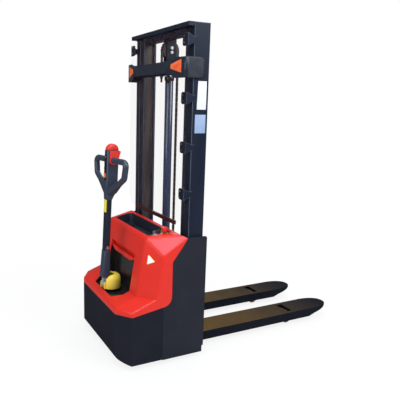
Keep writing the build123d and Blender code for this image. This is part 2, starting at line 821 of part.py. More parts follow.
# Base frame
def base_frame():
    frame = block(BULKHEAD_FRONT, CHANNEL_FRONT, -SIDE_INNER, SIDE_INNER, FOOT_BEAM_HIGH, BULKHEAD_TOP)
    frame += block(DECK_FRONT, BULKHEAD_FRONT, -BRIDGE_HALF, BRIDGE_HALF, BRIDGE_LOW, BRIDGE_TOP)
    corner_run = HALF - FRONT_FLAT
    deck_side_x = CORNER_DEPTH + 5 * SHEET
    deck_turn = SIDE_INNER - (deck_side_x - DECK_FRONT) * corner_run / CORNER_DEPTH
    deck_plan = [
        (DECK_FRONT, DECK_INNER),
        (DECK_FRONT, deck_turn),
        (deck_side_x, SIDE_INNER),
        (BULKHEAD_FRONT, SIDE_INNER),
        (BULKHEAD_FRONT, DECK_INNER),
    ]
    side = plate_xy(deck_plan, RAIL_LOW, DECK_TOP)
    side -= rod_z(CASTOR_X, CASTOR_Y, CASTOR_STEM_RADIUS + RUN_GAP, RAIL_LOW, DECK_TOP)
    side += block(deck_side_x, BULKHEAD_FRONT, SIDE_INNER - FRAME_PLATE, SIDE_INNER, DECK_TOP, RAIL_HIGH)
    side += block(DECK_FRONT, BULKHEAD_FRONT, DECK_INNER, DECK_INNER + FRAME_PLATE, DECK_TOP, BRIDGE_LOW)
    for half in both_sides(side):
        frame += half
    frame -= rod_z(STEER_X, 0, BEARING_RADIUS, BRIDGE_LOW, BRIDGE_TOP)
    bearing = rod_z(STEER_X, 0, BEARING_RADIUS, BRIDGE_LOW, BRIDGE_TOP)
    bearing -= rod_z(STEER_X, 0, DRIVE_STEM_RADIUS + RUN_GAP, BRIDGE_LOW, BRIDGE_TOP)
    return [frame, bearing]


def batteries():
    rear = BULKHEAD_FRONT - BATTERY_GAP
    case = block(
        rear - BATTERY_WIDTH, rear, BATTERY_GAP / 2, BATTERY_GAP / 2 + BATTERY_LENGTH, BRIDGE_TOP,
        BRIDGE_TOP + BATTERY_HEIGHT,
    )
    case = fillet(case.edges().filter_by(Axis.Z), BATTERY_GAP)
    terminal_x = rear - BATTERY_WIDTH / 4
    for terminal_y in (BATTERY_LENGTH / 6, BATTERY_LENGTH * 5 / 6):
        top = BRIDGE_TOP + BATTERY_HEIGHT
        case += rod_z(terminal_x, terminal_y, BATTERY_GAP, top, top + 2 * BATTERY_GAP)
    return both_sides(case)


def hydraulic_unit():
    rear = BULKHEAD_FRONT
    inner = FRAME_PLATE
    tank_low = BRIDGE_LOW - TANK_HEIGHT
    tank = block(rear - TANK_DEPTH, rear, inner, inner + TANK_WIDTH, tank_low, BRIDGE_LOW)
    tank = fillet(tank.edges().filter_by(Axis.Y), FRAME_PLATE)
    motor_x = rear - TANK_DEPTH / 2
    motor_z = tank_low - VALVE_BLOCK / 2
    valve = block(
        motor_x - VALVE_BLOCK / 2, motor_x + VALVE_BLOCK / 2,
        inner, inner + VALVE_BLOCK / 2, tank_low - VALVE_BLOCK,
        tank_low,
    )
    motor_start = inner + VALVE_BLOCK / 2
    low_z = motor_z - PUMP_MOTOR_RADIUS / 2
    motor = rod_y(motor_x, low_z, PUMP_MOTOR_RADIUS, motor_start, motor_start + PUMP_MOTOR_LENGTH)
    return [tank, valve, motor]


def motor_controller():
    rear = BULKHEAD_FRONT
    near = -FRAME_PLATE
    low = BRIDGE_LOW - CONTROLLER_HEIGHT
    case = block(rear - CONTROLLER_DEPTH, rear, near - CONTROLLER_WIDTH, near, low, BRIDGE_LOW)
    fins = 7
    pitch = CONTROLLER_WIDTH / fins
    for index in range(fins):
        start = near - CONTROLLER_WIDTH + (index + 0.25) * pitch
        front = rear - CONTROLLER_DEPTH
        case -= block(front, front + FRAME_PLATE, start, start + pitch / 2, 0, BRIDGE_LOW)
    return case


# Mast
def outer_channel():
    low = FOOT_BEAM_HIGH
    front_end = CHANNEL_FRONT + CHANNEL_FLANGE
    rear_start = CHANNEL_REAR - CHANNEL_FLANGE
    web = block(CHANNEL_FRONT, CHANNEL_REAR, CHANNEL_HALF - CHANNEL_WEB, CHANNEL_HALF, low, MAST_TOP)
    front = block(CHANNEL_FRONT, front_end, CHANNEL_TIP, CHANNEL_HALF, low, MAST_TOP)
    rear = block(rear_start, CHANNEL_REAR, CHANNEL_TIP, CHANNEL_HALF, low, MAST_TOP)
    stub = rod_y(MAST_MID, UPPER_ROLLER_Z, ROLLER_STUB_RADIUS, UPPER_ROLLER_IN, CHANNEL_HALF - CHANNEL_WEB)
    return web + front + rear + stub


def inner_channel():
    web = block(INNER_FRONT, INNER_REAR, WEB_IN, WEB_OUT, INNER_LOW, INNER_TOP)
    front = block(INNER_FRONT, INNER_FRONT + INNER_FLANGE, INNER_IN, INNER_OUT, INNER_LOW, INNER_TOP)
    rear = block(INNER_REAR - INNER_FLANGE, INNER_REAR, INNER_IN, INNER_OUT, INNER_LOW, INNER_TOP)
    stub = rod_y(MAST_MID, LOWER_ROLLER_Z, ROLLER_STUB_RADIUS, WEB_OUT, LOWER_ROLLER_OUT)
    return web + front + rear + stub


def roller_pair(z, radius, inside, outside):
    roller = rod_y(MAST_MID, z, radius, inside, outside)
    roller = rounded(roller, 2 * ROLLER_GAP, lambda edge: edge.geom_type == GeomType.CIRCLE)
    roller -= rod_y(MAST_MID, z, ROLLER_STUB_RADIUS + RUN_GAP, inside, outside)
    return both_sides(roller)


def mast_top_beam():
    low = MAST_TOP - TOP_BEAM_HEIGHT
    front = CHANNEL_FRONT - TOP_BEAM_DEPTH
    beam = block(front, CHANNEL_FRONT, -CHANNEL_HALF, CHANNEL_HALF, low, MAST_TOP)
    inside = CHANNEL_HALF - SHEET
    beam -= block(front + SHEET, CHANNEL_FRONT, -inside, inside, low + SHEET, MAST_TOP - SHEET)
    notch_front = PULLEY_X - PULLEY_PITCH - CHAIN_DEPTH
    notch_half = BRACKET_INNER + TOP_BEAM_NOTCH_GAP
    return beam - block(notch_front, CHANNEL_FRONT, -notch_half, notch_half, low, MAST_TOP)


def mast_cross_members():
    plate_rear = CHANNEL_FRONT - CROSS_STAND_OFF
    plate_front = plate_rear - CROSS_PLATE
    out = CHANNEL_HALF - CHANNEL_WEB
    foot_in = CHANNEL_TIP + CROSS_FOOT_GAP
    cross = block(plate_front, plate_rear, -out, out, CROSS_LOW, CROSS_HIGH)
    for foot in both_sides(block(plate_rear, CHANNEL_FRONT, foot_in, out, CROSS_LOW, CROSS_HIGH)):
        cross += foot
    lug_top = CROSS_LOW + CROSS_PLATE
    lug_half = 2 * ANCHOR_RADIUS
    cross += block(plate_rear, CHAIN_FRONT_X + lug_half, -lug_half, lug_half, CROSS_LOW, lug_top)
    cross -= rod_z(CHAIN_FRONT_X, 0, ANCHOR_RADIUS + RUN_GAP, CROSS_LOW, lug_top)
    bolt = rod_z(CHAIN_FRONT_X, 0, ANCHOR_RADIUS, ANCHOR_LOW, lug_top + ANCHOR_RADIUS)
    eye_half = CHAIN_DEPTH / 2
    bolt += block(
        CHAIN_FRONT_X - eye_half, CHAIN_FRONT_X + eye_half, -CHAIN_HALF, CHAIN_HALF,
        lug_top + ANCHOR_RADIUS, ANCHOR_TOP,
    )
    nut = extrude(
        Plane(origin=(CHAIN_FRONT_X, 0, CROSS_LOW - 2 * ANCHOR_RADIUS))
        * RegularPolygon(ANCHOR_NUT_RADIUS, 6),
        amount=2 * ANCHOR_RADIUS,
    )
    bolt += nut
    return [cross, bolt, screen_stiffener()]


def screen_stiffener():
    """Bar along the screen's lower edge."""
    rear = SCREEN_REAR + STIFFENER_DEPTH
    return block(SCREEN_REAR, rear, -STIFFENER_HALF, STIFFENER_HALF, STIFFENER_LOW, STIFFENER_HIGH)


def mast_foot_beam():
    return block(CHANNEL_FRONT, CHANNEL_REAR, -CHANNEL_HALF, CHANNEL_HALF, FOOT_BEAM_LOW, FOOT_BEAM_HIGH)


def inner_top_beam():
    front = INNER_FRONT + INNER_FLANGE
    rear = INNER_REAR - INNER_FLANGE
    beam = block(front, rear, -WEB_IN, WEB_IN, INNER_TOP - INNER_BEAM_HEIGHT, INNER_TOP)
    return beam


def inner_foot_beam():
    rear = INNER_REAR + INNER_FLANGE
    return block(INNER_REAR, rear, -INNER_OUT, INNER_OUT, INNER_FOOT_LOW, INNER_FOOT_HIGH)


# Lift cylinder, pulley and chain
def cylinder_barrel():
    barrel = rod_z(PULLEY_X, 0, BARREL_RADIUS, FOOT_BEAM_HIGH, BARREL_TOP)
    barrel -= rod_z(PULLEY_X, 0, BARREL_BORE, FOOT_BEAM_HIGH + BARREL_FLOOR, BARREL_TOP)
    gland = rod_z(PULLEY_X, 0, GLAND_RADIUS, BARREL_TOP, BARREL_TOP + GLAND_HEIGHT)
    gland -= rod_z(PULLEY_X, 0, ROD_RADIUS + RUN_GAP, BARREL_TOP, BARREL_TOP + GLAND_HEIGHT)
    return [barrel, gland]


def lift_rod():
    rod = rod_z(PULLEY_X, 0, ROD_RADIUS, PISTON_LOW, ROD_TOP)
    return rod + rod_z(PULLEY_X, 0, BARREL_BORE - RUN_GAP, PISTON_LOW, PISTON_LOW + PISTON_HEIGHT)


def pulley_bracket():
    half = BRACKET_DEPTH / 2
    outside = BRACKET_INNER + BRACKET_PLATE
    top = INNER_TOP - INNER_BEAM_HEIGHT
    bracket = block(PULLEY_X - half, PULLEY_X + half, -outside, outside, ROD_TOP, ROD_TOP + BRACKET_FLOOR)
    cheek = block(PULLEY_X - half, PULLEY_X + half, BRACKET_INNER, outside, ROD_TOP + BRACKET_FLOOR, top)
    for side in both_sides(cheek):
        bracket += side
    return [bracket + rod_y(PULLEY_X, PULLEY_Z, PULLEY_AXLE_RADIUS, -outside, outside)]


def chain_pulley():
    root = PULLEY_PITCH - CHAIN_DEPTH / 2 - BODY_GAP
    wheel = rod_y(PULLEY_X, PULLEY_Z, root, -PULLEY_HALF, PULLEY_HALF)
    for side in both_sides(
        rod_y(PULLEY_X, PULLEY_Z, PULLEY_FLANGE_RADIUS, PULLEY_HALF, PULLEY_HALF + PULLEY_FLANGE)
    ):
        wheel += side
    outside = PULLEY_HALF + PULLEY_FLANGE
    return wheel - rod_y(PULLEY_X, PULLEY_Z, PULLEY_AXLE_RADIUS + RUN_GAP, -outside, outside)


def chain_run(x, low, high):
    return block(x - CHAIN_DEPTH / 2, x + CHAIN_DEPTH / 2, -CHAIN_HALF, CHAIN_HALF, low, high)


def chain_wrap():
    outer = rod_y(PULLEY_X, PULLEY_Z, PULLEY_PITCH + CHAIN_DEPTH / 2, -CHAIN_HALF, CHAIN_HALF)
    inner = rod_y(PULLEY_X, PULLEY_Z, PULLEY_PITCH - CHAIN_DEPTH / 2, -CHAIN_HALF, CHAIN_HALF)
    ring = outer - inner
    return ring & block(0, LENGTH, -CHAIN_HALF, CHAIN_HALF, PULLEY_Z, MAST_TOP)


# Mast cover, screen and brackets
def cover_plan(inset, rear):
    """Cover seen from above: flat in the middle, swept back towards its ends, with rounded corners."""
    side = COVER_HALF - inset
    corner_x = COVER_FRONT + inset
    middle_x = corner_x - COVER_BOW
    right = [(rear, -side), (corner_x, -side), (middle_x, -COVER_FLAT_HALF)]
    body = plate_xy(right + [(x, -y) for x, y in reversed(right)], COVER_LOW, COVER_TOP)

    def end_corner(edge):
        return edges_along((0, 0, 1))(edge) and abs(edge.center().X - corner_x) < 1

    def bend(edge):
        return edges_along((0, 0, 1))(edge) and abs(edge.center().X - middle_x) < 1

    body = rounded(body, COVER_ROUND - inset, end_corner)
    return rounded(body, COVER_SWEEP - inset, bend)


def mast_cover():
    shell = cover_plan(0, COVER_REAR)

    def wing_corner(edge):
        return edges_along((0, 1, 0))(edge) and edge.center().X > COVER_REAR - 1

    shell = rounded(shell, COVER_WING_ROUND, wing_corner)
    shell -= cover_plan(SHEET, REACH)
    arch = [
        (-COVER_END_HALF, COVER_LOW),
        (-COVER_MIDDLE_HALF, COVER_MIDDLE_LOW),
        (COVER_MIDDLE_HALF, COVER_MIDDLE_LOW),
        (COVER_END_HALF, COVER_LOW),
    ]
    sag = [
        (-COVER_END_HALF, COVER_TOP),
        (-COVER_MIDDLE_HALF, COVER_MIDDLE_TOP),
        (COVER_MIDDLE_HALF, COVER_MIDDLE_TOP),
        (COVER_END_HALF, COVER_TOP),
    ]
    for waist in (arch, sag):
        shell -= plate_yz(waist, 0, REACH)
    rib_x = CHANNEL_FRONT + CHANNEL_FLANGE
    rib_z = (COVER_LOW + COVER_TOP) / 2
    rib = rod_y(rib_x + CHANNEL_WEB, rib_z, CHANNEL_WEB, CHANNEL_HALF, COVER_HALF - SHEET)
    for side in both_sides(rib):
        shell += side
    return shell


def mast_screen():
    half = CHANNEL_HALF
    sheet = block(SCREEN_FRONT, SCREEN_REAR, -half, half, SCREEN_LOW, SCREEN_TOP)

    def lower_corner(edge):
        return edges_along((1, 0, 0))(edge) and edge.center().Z < SCREEN_LOW + 1

    sheet = rounded(sheet, SCREEN_CORNER, lower_corner)
    for z in SCREEN_BRACKET_Z:
        for y, screw_z in screw_places(z):
            hole = rod_x(y, screw_z, SCREW_RADIUS / 2 + RUN_GAP, SCREEN_FRONT, SCREEN_REAR)
            for placed in at_bracket_sides(hole, z):
                sheet -= placed
    return sheet


def at_bracket_sides(shape, z):
    """Brackets stand along the right channel, and the highest one on the left channel too."""
    if z == max(SCREEN_BRACKET_Z):
        return both_sides(shape)
    return [mirrored(shape)]


def screen_bracket(z):
    half = SCREEN_BRACKET_HEIGHT / 2
    chamfer_run = SCREEN_BRACKET_HEIGHT / 4
    inner = CHANNEL_HALF - SCREEN_BRACKET_WIDTH
    strap_out = CHANNEL_HALF + SHEET
    strap_rear = CHANNEL_FRONT + STRAP_LENGTH
    face = block(SCREEN_REAR, SCREEN_REAR + SHEET, inner, strap_out, z - half, z + half)
    face = fillet(face.edges().filter_by(Axis.X).group_by(Axis.Y)[0], SCREEN_BRACKET_ROUND)
    side = plate_xz(
        [
            (SCREEN_REAR, z - half),
            (CHANNEL_FRONT, z - half + chamfer_run),
            (strap_rear, z - half + chamfer_run),
            (strap_rear, z + half - chamfer_run),
            (CHANNEL_FRONT, z + half - chamfer_run),
            (SCREEN_REAR, z + half),
        ],
        CHANNEL_HALF,
        strap_out,
    )
    bracket = face + side
    for y, screw_z in screw_places(z):
        bracket -= rod_x(y, screw_z, SCREW_RADIUS / 2, SCREEN_FRONT, SCREEN_REAR + SHEET)
    return bracket


def screw_places(z):
    """Two screws through the screen into each bracket."""
    y = CHANNEL_HALF - SCREEN_BRACKET_WIDTH / 2
    return [(y, z - SCREW_SPACING / 2), (y, z + SCREW_SPACING / 2)]


def bracket_screws(z):
    screws = []
    for y, screw_z in screw_places(z):
        head = rod_x(y, screw_z, SCREW_RADIUS, SCREEN_FRONT - SCREW_HEAD, SCREEN_FRONT)
        head += rod_x(y, screw_z, SCREW_RADIUS / 2, SCREEN_FRONT, SCREEN_REAR + SHEET)
        screws.append(head)
    return screws


# Fork carriage and forks
def fork_carriage():
    side = plate_xz(
        [
            (CARRIAGE_FRONT, CARRIAGE_LOW),
            (CARRIAGE_REAR, CARRIAGE_LOW),
            (CARRIAGE_REAR, CARRIAGE_HIGH),
            (CARRIAGE_FRONT, CARRIAGE_HIGH),
        ],
        CARRIAGE_IN,
        CARRIAGE_OUT,
    )
    for z in (CARRIAGE_ROLLER_LOW_Z, CARRIAGE_ROLLER_HIGH_Z):
        side += rod_y(MAST_MID, z, ROLLER_STUB_RADIUS, CARRIAGE_OUT, CARRIAGE_ROLLER_OUT)
    frame = side + mirrored(side)
    bar_front = CARRIAGE_REAR - CARRIAGE_BAR
    lug_low = CHAIN_LUG_TOP - CARRIAGE_BAR
    middle_low = lug_low - CARRIAGE_BAR_HEIGHT / 2
    for low in (CARRIAGE_LOW, middle_low, CARRIAGE_HIGH - CARRIAGE_BAR_HEIGHT):
        frame += block(bar_front, CARRIAGE_REAR, -CARRIAGE_IN, CARRIAGE_IN, low, low + CARRIAGE_BAR_HEIGHT)
    lug_front = CHAIN_REAR_X - CHAIN_DEPTH / 2
    frame += block(lug_front, bar_front, -2 * CHAIN_HALF, 2 * CHAIN_HALF, lug_low, CHAIN_LUG_TOP)
    return frame


def fork():
    straight = LENGTH - FORK_NOSE
    nose_run = FORK_MID - FORK_NOSE_TIP / 2 - FORK_INNER
    nose = [(CARRIAGE_REAR, FORK_INNER)]
    for a in quarter_turn():
        nose.append((straight + FORK_NOSE * math.sin(a), FORK_INNER + nose_run * (1 - math.cos(a))))
    outline = nose + [(x, 2 * FORK_MID - y) for x, y in reversed(nose)]
    blade = plate_xy(outline, FORK_WALL_LOW, FORK_TOP)
    taper = [
        (straight - FORK_NOSE / 3, FORK_WALL_LOW - 1),
        (straight - FORK_NOSE / 3, FORK_WALL_LOW),
        (straight, FORK_NOSE_LOW),
        (LENGTH, FORK_TIP_LOW),
        (LENGTH + 1, FORK_WALL_LOW - 1),
    ]
    blade -= plate_xz(taper, FORK_INNER - 1, FORK_OUTER + 1)
    hollow_end = straight - FORK_PLATE
    blade -= block(
        CARRIAGE_REAR + FORK_SHANK, hollow_end, FORK_INNER + FORK_PLATE, FORK_OUTER - FORK_PLATE,
        0, FORK_TOP - FORK_PLATE,
    )
    blade -= block(
        CARRIAGE_REAR, CARRIAGE_REAR + FORK_SHANK, FORK_INNER + FORK_PLATE, FORK_OUTER - FORK_PLATE,
        0, LEG_TOP + FORK_PLATE,
    )
    slot_half = FORK_SLOT_LENGTH / 2
    slot_side = LEG_INNER + LEG_WALL / 2
    slot_far = LEG_OUTER - LEG_WALL / 2
    blade -= block(LOAD_ROLLER_X - slot_half, LOAD_ROLLER_X + slot_half, slot_side, slot_far, 0, FORK_TOP)
    shank = block(CARRIAGE_REAR, CARRIAGE_REAR + FORK_SHANK, FORK_INNER, FORK_OUTER, FORK_TOP, FORK_SHANK_TOP)
    top_ends = lambda edge: edges_along((1, 0, 0))(edge) and edge.center().Z > FORK_SHANK_TOP - 1
    shank = rounded(shank, FORK_SHANK, top_ends)
    return blade + shank


def support_leg():
    leg = block(CHANNEL_REAR, LEG_END, LEG_INNER, LEG_OUTER, LEG_LOW, LEG_TOP)
    roller_side = LOAD_ROLLER_WIDTH / 2 + BODY_GAP
    well_front = LOAD_ROLLER_X - LOAD_ROLLER_RADIUS - LEG_WALL
    leg -= block(
        CHANNEL_REAR + LEG_WALL, well_front - LEG_WALL, LEG_INNER + LEG_WALL, LEG_OUTER - LEG_WALL,
        0, LEG_TOP - LEG_WALL,
    )
    leg -= block(well_front, LEG_END, LEG_MID - roller_side, LEG_MID + roller_side, 0, REACH)
    axle = rod_y(LOAD_ROLLER_X, LOAD_ROLLER_RADIUS, LOAD_AXLE_RADIUS, LEG_INNER, LEG_OUTER)
    leg -= rod_y(LOAD_ROLLER_X, LOAD_ROLLER_RADIUS, LOAD_AXLE_RADIUS, LEG_INNER, LEG_OUTER)
    return [leg, axle]


def load_roller():
    half = LOAD_ROLLER_WIDTH / 2
    roller = rod_y(LOAD_ROLLER_X, LOAD_ROLLER_RADIUS, LOAD_ROLLER_RADIUS, LEG_MID - half, LEG_MID + half)
    roller = rounded(roller, LEG_WALL / 4, lambda edge: edge.geom_type == GeomType.CIRCLE)
    bore = LOAD_AXLE_RADIUS + RUN_GAP
    return roller - rod_y(LOAD_ROLLER_X, LOAD_ROLLER_RADIUS, bore, LEG_MID - half, LEG_MID + half)


# Drive unit and tiller base
def drive_housing():
    arm_in = DRIVE_WIDTH / 2 + DRIVE_ARM_GAP
    arm_out = arm_in + DRIVE_ARM
    arm_half = 3 * DRIVE_AXLE_RADIUS
    crown_top = DRIVE_CROWN_LOW + DRIVE_CROWN
    crown_radius = DRIVE_RADIUS - DRIVE_ARM
    housing = rod_z(STEER_X, 0, crown_radius, DRIVE_CROWN_LOW, crown_top)
    arm = block(STEER_X - arm_half, STEER_X + arm_half, arm_in, arm_out, DRIVE_RADIUS, DRIVE_CROWN_LOW)
    arm += rod_y(STEER_X, DRIVE_RADIUS, arm_half, arm_in, arm_out)
    for side in both_sides(arm):
        housing += side
    housing += rod_z(STEER_X, 0, DRIVE_STEM_RADIUS, crown_top, BRIDGE_TOP + SHEET)
    housing += rod_y(STEER_X, DRIVE_RADIUS, DRIVE_AXLE_RADIUS, -arm_in, arm_in)
    return housing


def drive_motor():
    motor = rod_z(STEER_X, 0, MOTOR_RADIUS, BRIDGE_TOP + SHEET, MOTOR_TOP)
    top_rim = lambda edge: edge.center().Z > MOTOR_TOP - 1 and edge.geom_type == GeomType.CIRCLE
    return rounded(motor, SHEET, top_rim)


def wheel(x, y, radius, width, bore, edge_round):
    tyre = rod_y(x, radius, radius, y - width / 2, y + width / 2)
    tyre = rounded(tyre, edge_round, lambda edge: edge.geom_type == GeomType.CIRCLE)
    return tyre - rod_y(x, radius, bore, y - width / 2, y + width / 2)


def tiller_base():
    base = rod_z(STEER_X, 0, NECK_RADIUS, MOTOR_TOP, DOME_LOW)
    base += rod_z(DOME_X, 0, DOME_RADIUS, DOME_LOW, DOME_LOW + DOME_PLATE)
    ear_out = EAR_INNER + EAR_PLATE
    ear = block(PIVOT_X - BOSS_RADIUS, DOME_X, EAR_INNER, ear_out, DOME_LOW + DOME_PLATE, PIVOT_Z)
    ear += rod_y(PIVOT_X, PIVOT_Z, BOSS_RADIUS, EAR_INNER, ear_out)
    for side in both_sides(ear):
        base += side
    base += rod_y(PIVOT_X, PIVOT_Z, TILLER_PIN_RADIUS, -ear_out, ear_out)
    return base


def tiller_cover():
    low = DOME_LOW + DOME_PLATE
    dome = rod_z(DOME_X, 0, DOME_RADIUS, low, DOME_TOP)
    top_rim = sorted(dome.edges().filter_by(GeomType.CIRCLE), key=lambda edge: edge.center().Z)[-1]
    dome = fillet(top_rim, DOME_ROUND)
    hollow = rod_z(DOME_X, 0, DOME_RADIUS - SHEET, low, DOME_TOP - SHEET)
    hollow_rim = sorted(hollow.edges().filter_by(GeomType.CIRCLE), key=lambda edge: edge.center().Z)[-1]
    dome -= fillet(hollow_rim, DOME_ROUND - SHEET)
    slot = block(0, DOME_SLOT_BACK - DOME_SLOT_HALF / 2, -DOME_SLOT_HALF, DOME_SLOT_HALF, 0, REACH)
    step_z = SLEEVE_LOW - DOME_STEP_DROP
    slot += block(0, DOME_SLOT_BACK, -DOME_SLOT_TOP_HALF, DOME_SLOT_TOP_HALF, step_z, REACH)
    return dome - slot


# Tiller, drawn upright and then leaned about its pivot
def leaned(shape):
    return shape.rotate(Axis((PIVOT_X, 0, PIVOT_Z), (0, 1, 0)), TILLER_LEAN)


def turned(shape):
    """Drive unit and tiller stand turned about the steering axis."""
    return shape.rotate(Axis((STEER_X, 0, 0), (0, 0, 1)), STEER_ANGLE)


def tiller_shaft():
    half = TUBE_DEPTH / 2
    side = TUBE_WIDTH / 2
    boss_half = EAR_INNER - BODY_GAP
    tube_low = SLEEVE_LOW + TUBE_WALL
    tube = block(PIVOT_X - half, PIVOT_X + half, -side, side, tube_low, HEAD_LOW)
    tube = fillet(tube.edges().filter_by(Axis.Z), half / 2)
    inner_half = half - TUBE_WALL
    inner_side = side - TUBE_WALL
    tube -= block(
        PIVOT_X - inner_half, PIVOT_X + inner_half, -inner_side, inner_side, tube_low + 2 * TUBE_WALL,
        HEAD_LOW - TUBE_WALL,
    )
    tube += block(
        PIVOT_X - BOSS_RADIUS, PIVOT_X + BOSS_RADIUS, -TONGUE_HALF, TONGUE_HALF, PIVOT_Z, tube_low + TUBE_WALL
    )
    tube += rod_y(PIVOT_X, PIVOT_Z, BOSS_RADIUS, -boss_half, boss_half)
    tube -= rod_y(PIVOT_X, PIVOT_Z, TILLER_PIN_RADIUS + RUN_GAP, -EAR_INNER, EAR_INNER)
    return leaned(tube)


def tiller_sleeve():
    low_half = SLEEVE_DEPTH / 2
    top_half = SLEEVE_TOP_DEPTH / 2
    side = SLEEVE_WIDTH / 2
    sleeve = plate_xz(
        [
            (PIVOT_X - low_half, SLEEVE_LOW),
            (PIVOT_X + low_half, SLEEVE_LOW),
            (PIVOT_X + top_half, SLEEVE_TOP),
            (PIVOT_X - top_half, SLEEVE_TOP),
        ],
        -side,
        side,
    )
    upright = [edge for edge in sleeve.edges() if abs((edge % 0.5).Z) > 0.9]
    sleeve = fillet(upright, TUBE_DEPTH / 4)
    half = TUBE_DEPTH / 2
    core_side = TUBE_WIDTH / 2
    core = block(PIVOT_X - half, PIVOT_X + half, -core_side, core_side, PIVOT_Z, HEAD_LOW)
    sleeve -= fillet(core.edges().filter_by(Axis.Z), half / 2)
    return leaned(sleeve)


def face_pocket(z, half_width, height):
    gap = BODY_GAP
    depth = BUTTON_DEPTH + BUTTON_TRAVEL + gap
    return block(
        HEAD_FACE, HEAD_FACE + depth, -half_width - gap, half_width + gap,
        z - height / 2 - gap, z + height / 2 + gap,
    )


def rocker_pin(gap):
    reach = ROCKER_HALF + ROCKER_PIN_REACH + gap
    return rod_y(HEAD_FACE + BUTTON_DEPTH / 2, ROCKER_Z, ROCKER_PIN_RADIUS + gap, -reach, reach)


def head_column():
    half = HEAD_DEPTH / 2
    column = block(HEAD_X - half, HEAD_X + half, -HEAD_HALF, HEAD_HALF, HEAD_NECK_TOP, HEAD_TOP)
    column = fillet(column.edges().filter_by(Axis.Z), HEAD_ROUND)
    foot_depth = TUBE_DEPTH + 2 * HEAD_NECK_MARGIN
    foot_width = TUBE_WIDTH + 2 * HEAD_NECK_MARGIN
    foot = Pos(PIVOT_X, 0, HEAD_LOW) * RectangleRounded(foot_depth, foot_width, HEAD_ROUND)
    top = Pos(HEAD_X, 0, HEAD_NECK_TOP) * RectangleRounded(HEAD_DEPTH, 2 * HEAD_HALF, HEAD_ROUND)
    return column + loft([foot, top])


def grip_loop():
    path = FilletPolyline(
        (GRIP_X, HEAD_HALF - 1, GRIP_Z),
        (GRIP_X, LOOP_HALF, GRIP_Z),
        (GRIP_X, LOOP_WAIST_HALF, LOOP_WAIST_Z),
        (GRIP_X, LOOP_FOOT_HALF, LOOP_FOOT_Z),
        radius=LOOP_BEND,
    )
    section = Plane(origin=path @ 0, z_dir=path % 0) * Circle(GRIP_RADIUS)
    loop = sweep(section, path=path)
    return loop + Pos(*(path @ 1)) * Sphere(GRIP_RADIUS)


def loop_web():
    """Web that spreads a loop's lower arm over the column's full depth."""
    front = HEAD_FACE + WEB_MARGIN
    rear = HEAD_FACE + HEAD_DEPTH - WEB_MARGIN
    shoulder = WEB_LOW + WEB_FOOT_RISE
    outline = Polygon(
        (front, WEB_FRONT_TOP),
        (rear, WEB_REAR_TOP),
        (rear, shoulder),
        (rear - WEB_FOOT_SIDE, WEB_LOW),
        (front + WEB_FOOT_SIDE, WEB_LOW),
        (front, shoulder),
        align=None,
    )
    outline = fillet(outline.vertices(), WEB_ROUND)
    on_column = Plane(origin=(0, HEAD_HALF - WEB_SINK, 0), x_dir=(1, 0, 0), z_dir=(0, -1, 0))
    foot = Vector(GRIP_X, LOOP_FOOT_HALF, LOOP_FOOT_Z)
    run = Vector(GRIP_X, LOOP_WAIST_HALF, LOOP_WAIST_Z) - foot
    reach = foot + run * ((WEB_REACH - LOOP_FOOT_HALF) / run.Y)
    round_arm = Plane(origin=tuple(reach), x_dir=(1, 0, 0), z_dir=tuple(run * -1)) * Circle(GRIP_RADIUS)
    return loft([(on_column * outline).face(), round_arm.face()])


def tiller_head():
    head = head_column()
    for loop in both_sides(grip_loop() + loop_web()):
        head += loop
    half = HEAD_DEPTH / 2
    mouth_low = CAP_LOW - CAP_TRAVEL - CAP_TRAVEL - BODY_GAP
    mouth_side = HEAD_HALF - CAP_MOUTH
    mouth = block(
        HEAD_X - half + CAP_MOUTH, HEAD_X + half - CAP_MOUTH, -mouth_side, mouth_side, mouth_low, HEAD_TOP,
    )
    head -= fillet(mouth.edges().filter_by(Axis.Z), HEAD_ROUND - CAP_MOUTH)
    head -= rod_z(HEAD_X, 0, CAP_STEM_RADIUS + RUN_GAP, mouth_low - 2 * CAP_STEM_RADIUS, HEAD_TOP)
    gap = BODY_GAP
    horn_end = HEAD_FACE + BUTTON_DEPTH + BUTTON_TRAVEL + gap
    head -= rod_x(0, HORN_Z, HORN_RADIUS + gap, HEAD_FACE, horn_end)
    head -= face_pocket(ROCKER_Z, ROCKER_HALF, ROCKER_HEIGHT + 2 * ROCKER_PROUD)
    head -= rocker_pin(RUN_GAP)
    head -= face_pocket(CREEP_Z, CREEP_HALF, CREEP_HEIGHT)
    return leaned(head)


def belly_button():
    half = HEAD_DEPTH / 2
    crown_z = CAP_TOP - half
    base = block(HEAD_X - half, HEAD_X + half, -HEAD_HALF, HEAD_HALF, CAP_LOW, CAP_TOP)
    cap = rod_y(HEAD_X, crown_z, half, -HEAD_HALF, HEAD_HALF) & base

    def end_outline(edge):
        return abs(edge.center().Y) > HEAD_HALF - 1 and edge.center().Z > CAP_LOW + 1

    cap = rounded(cap, CAP_ROUND, end_outline)
    skirt_side = HEAD_HALF - CAP_MOUTH - BODY_GAP
    skirt_half = half - CAP_MOUTH - BODY_GAP
    skirt = block(
        HEAD_X - skirt_half, HEAD_X + skirt_half, -skirt_side, skirt_side, CAP_LOW - CAP_TRAVEL, CAP_LOW,
    )
    cap += fillet(skirt.edges().filter_by(Axis.Z), HEAD_ROUND - CAP_MOUTH)
    stem_low = CAP_LOW - 2 * CAP_TRAVEL - CAP_STEM_RADIUS
    cap += rod_z(HEAD_X, 0, CAP_STEM_RADIUS, stem_low, CAP_LOW)
    return leaned(cap)


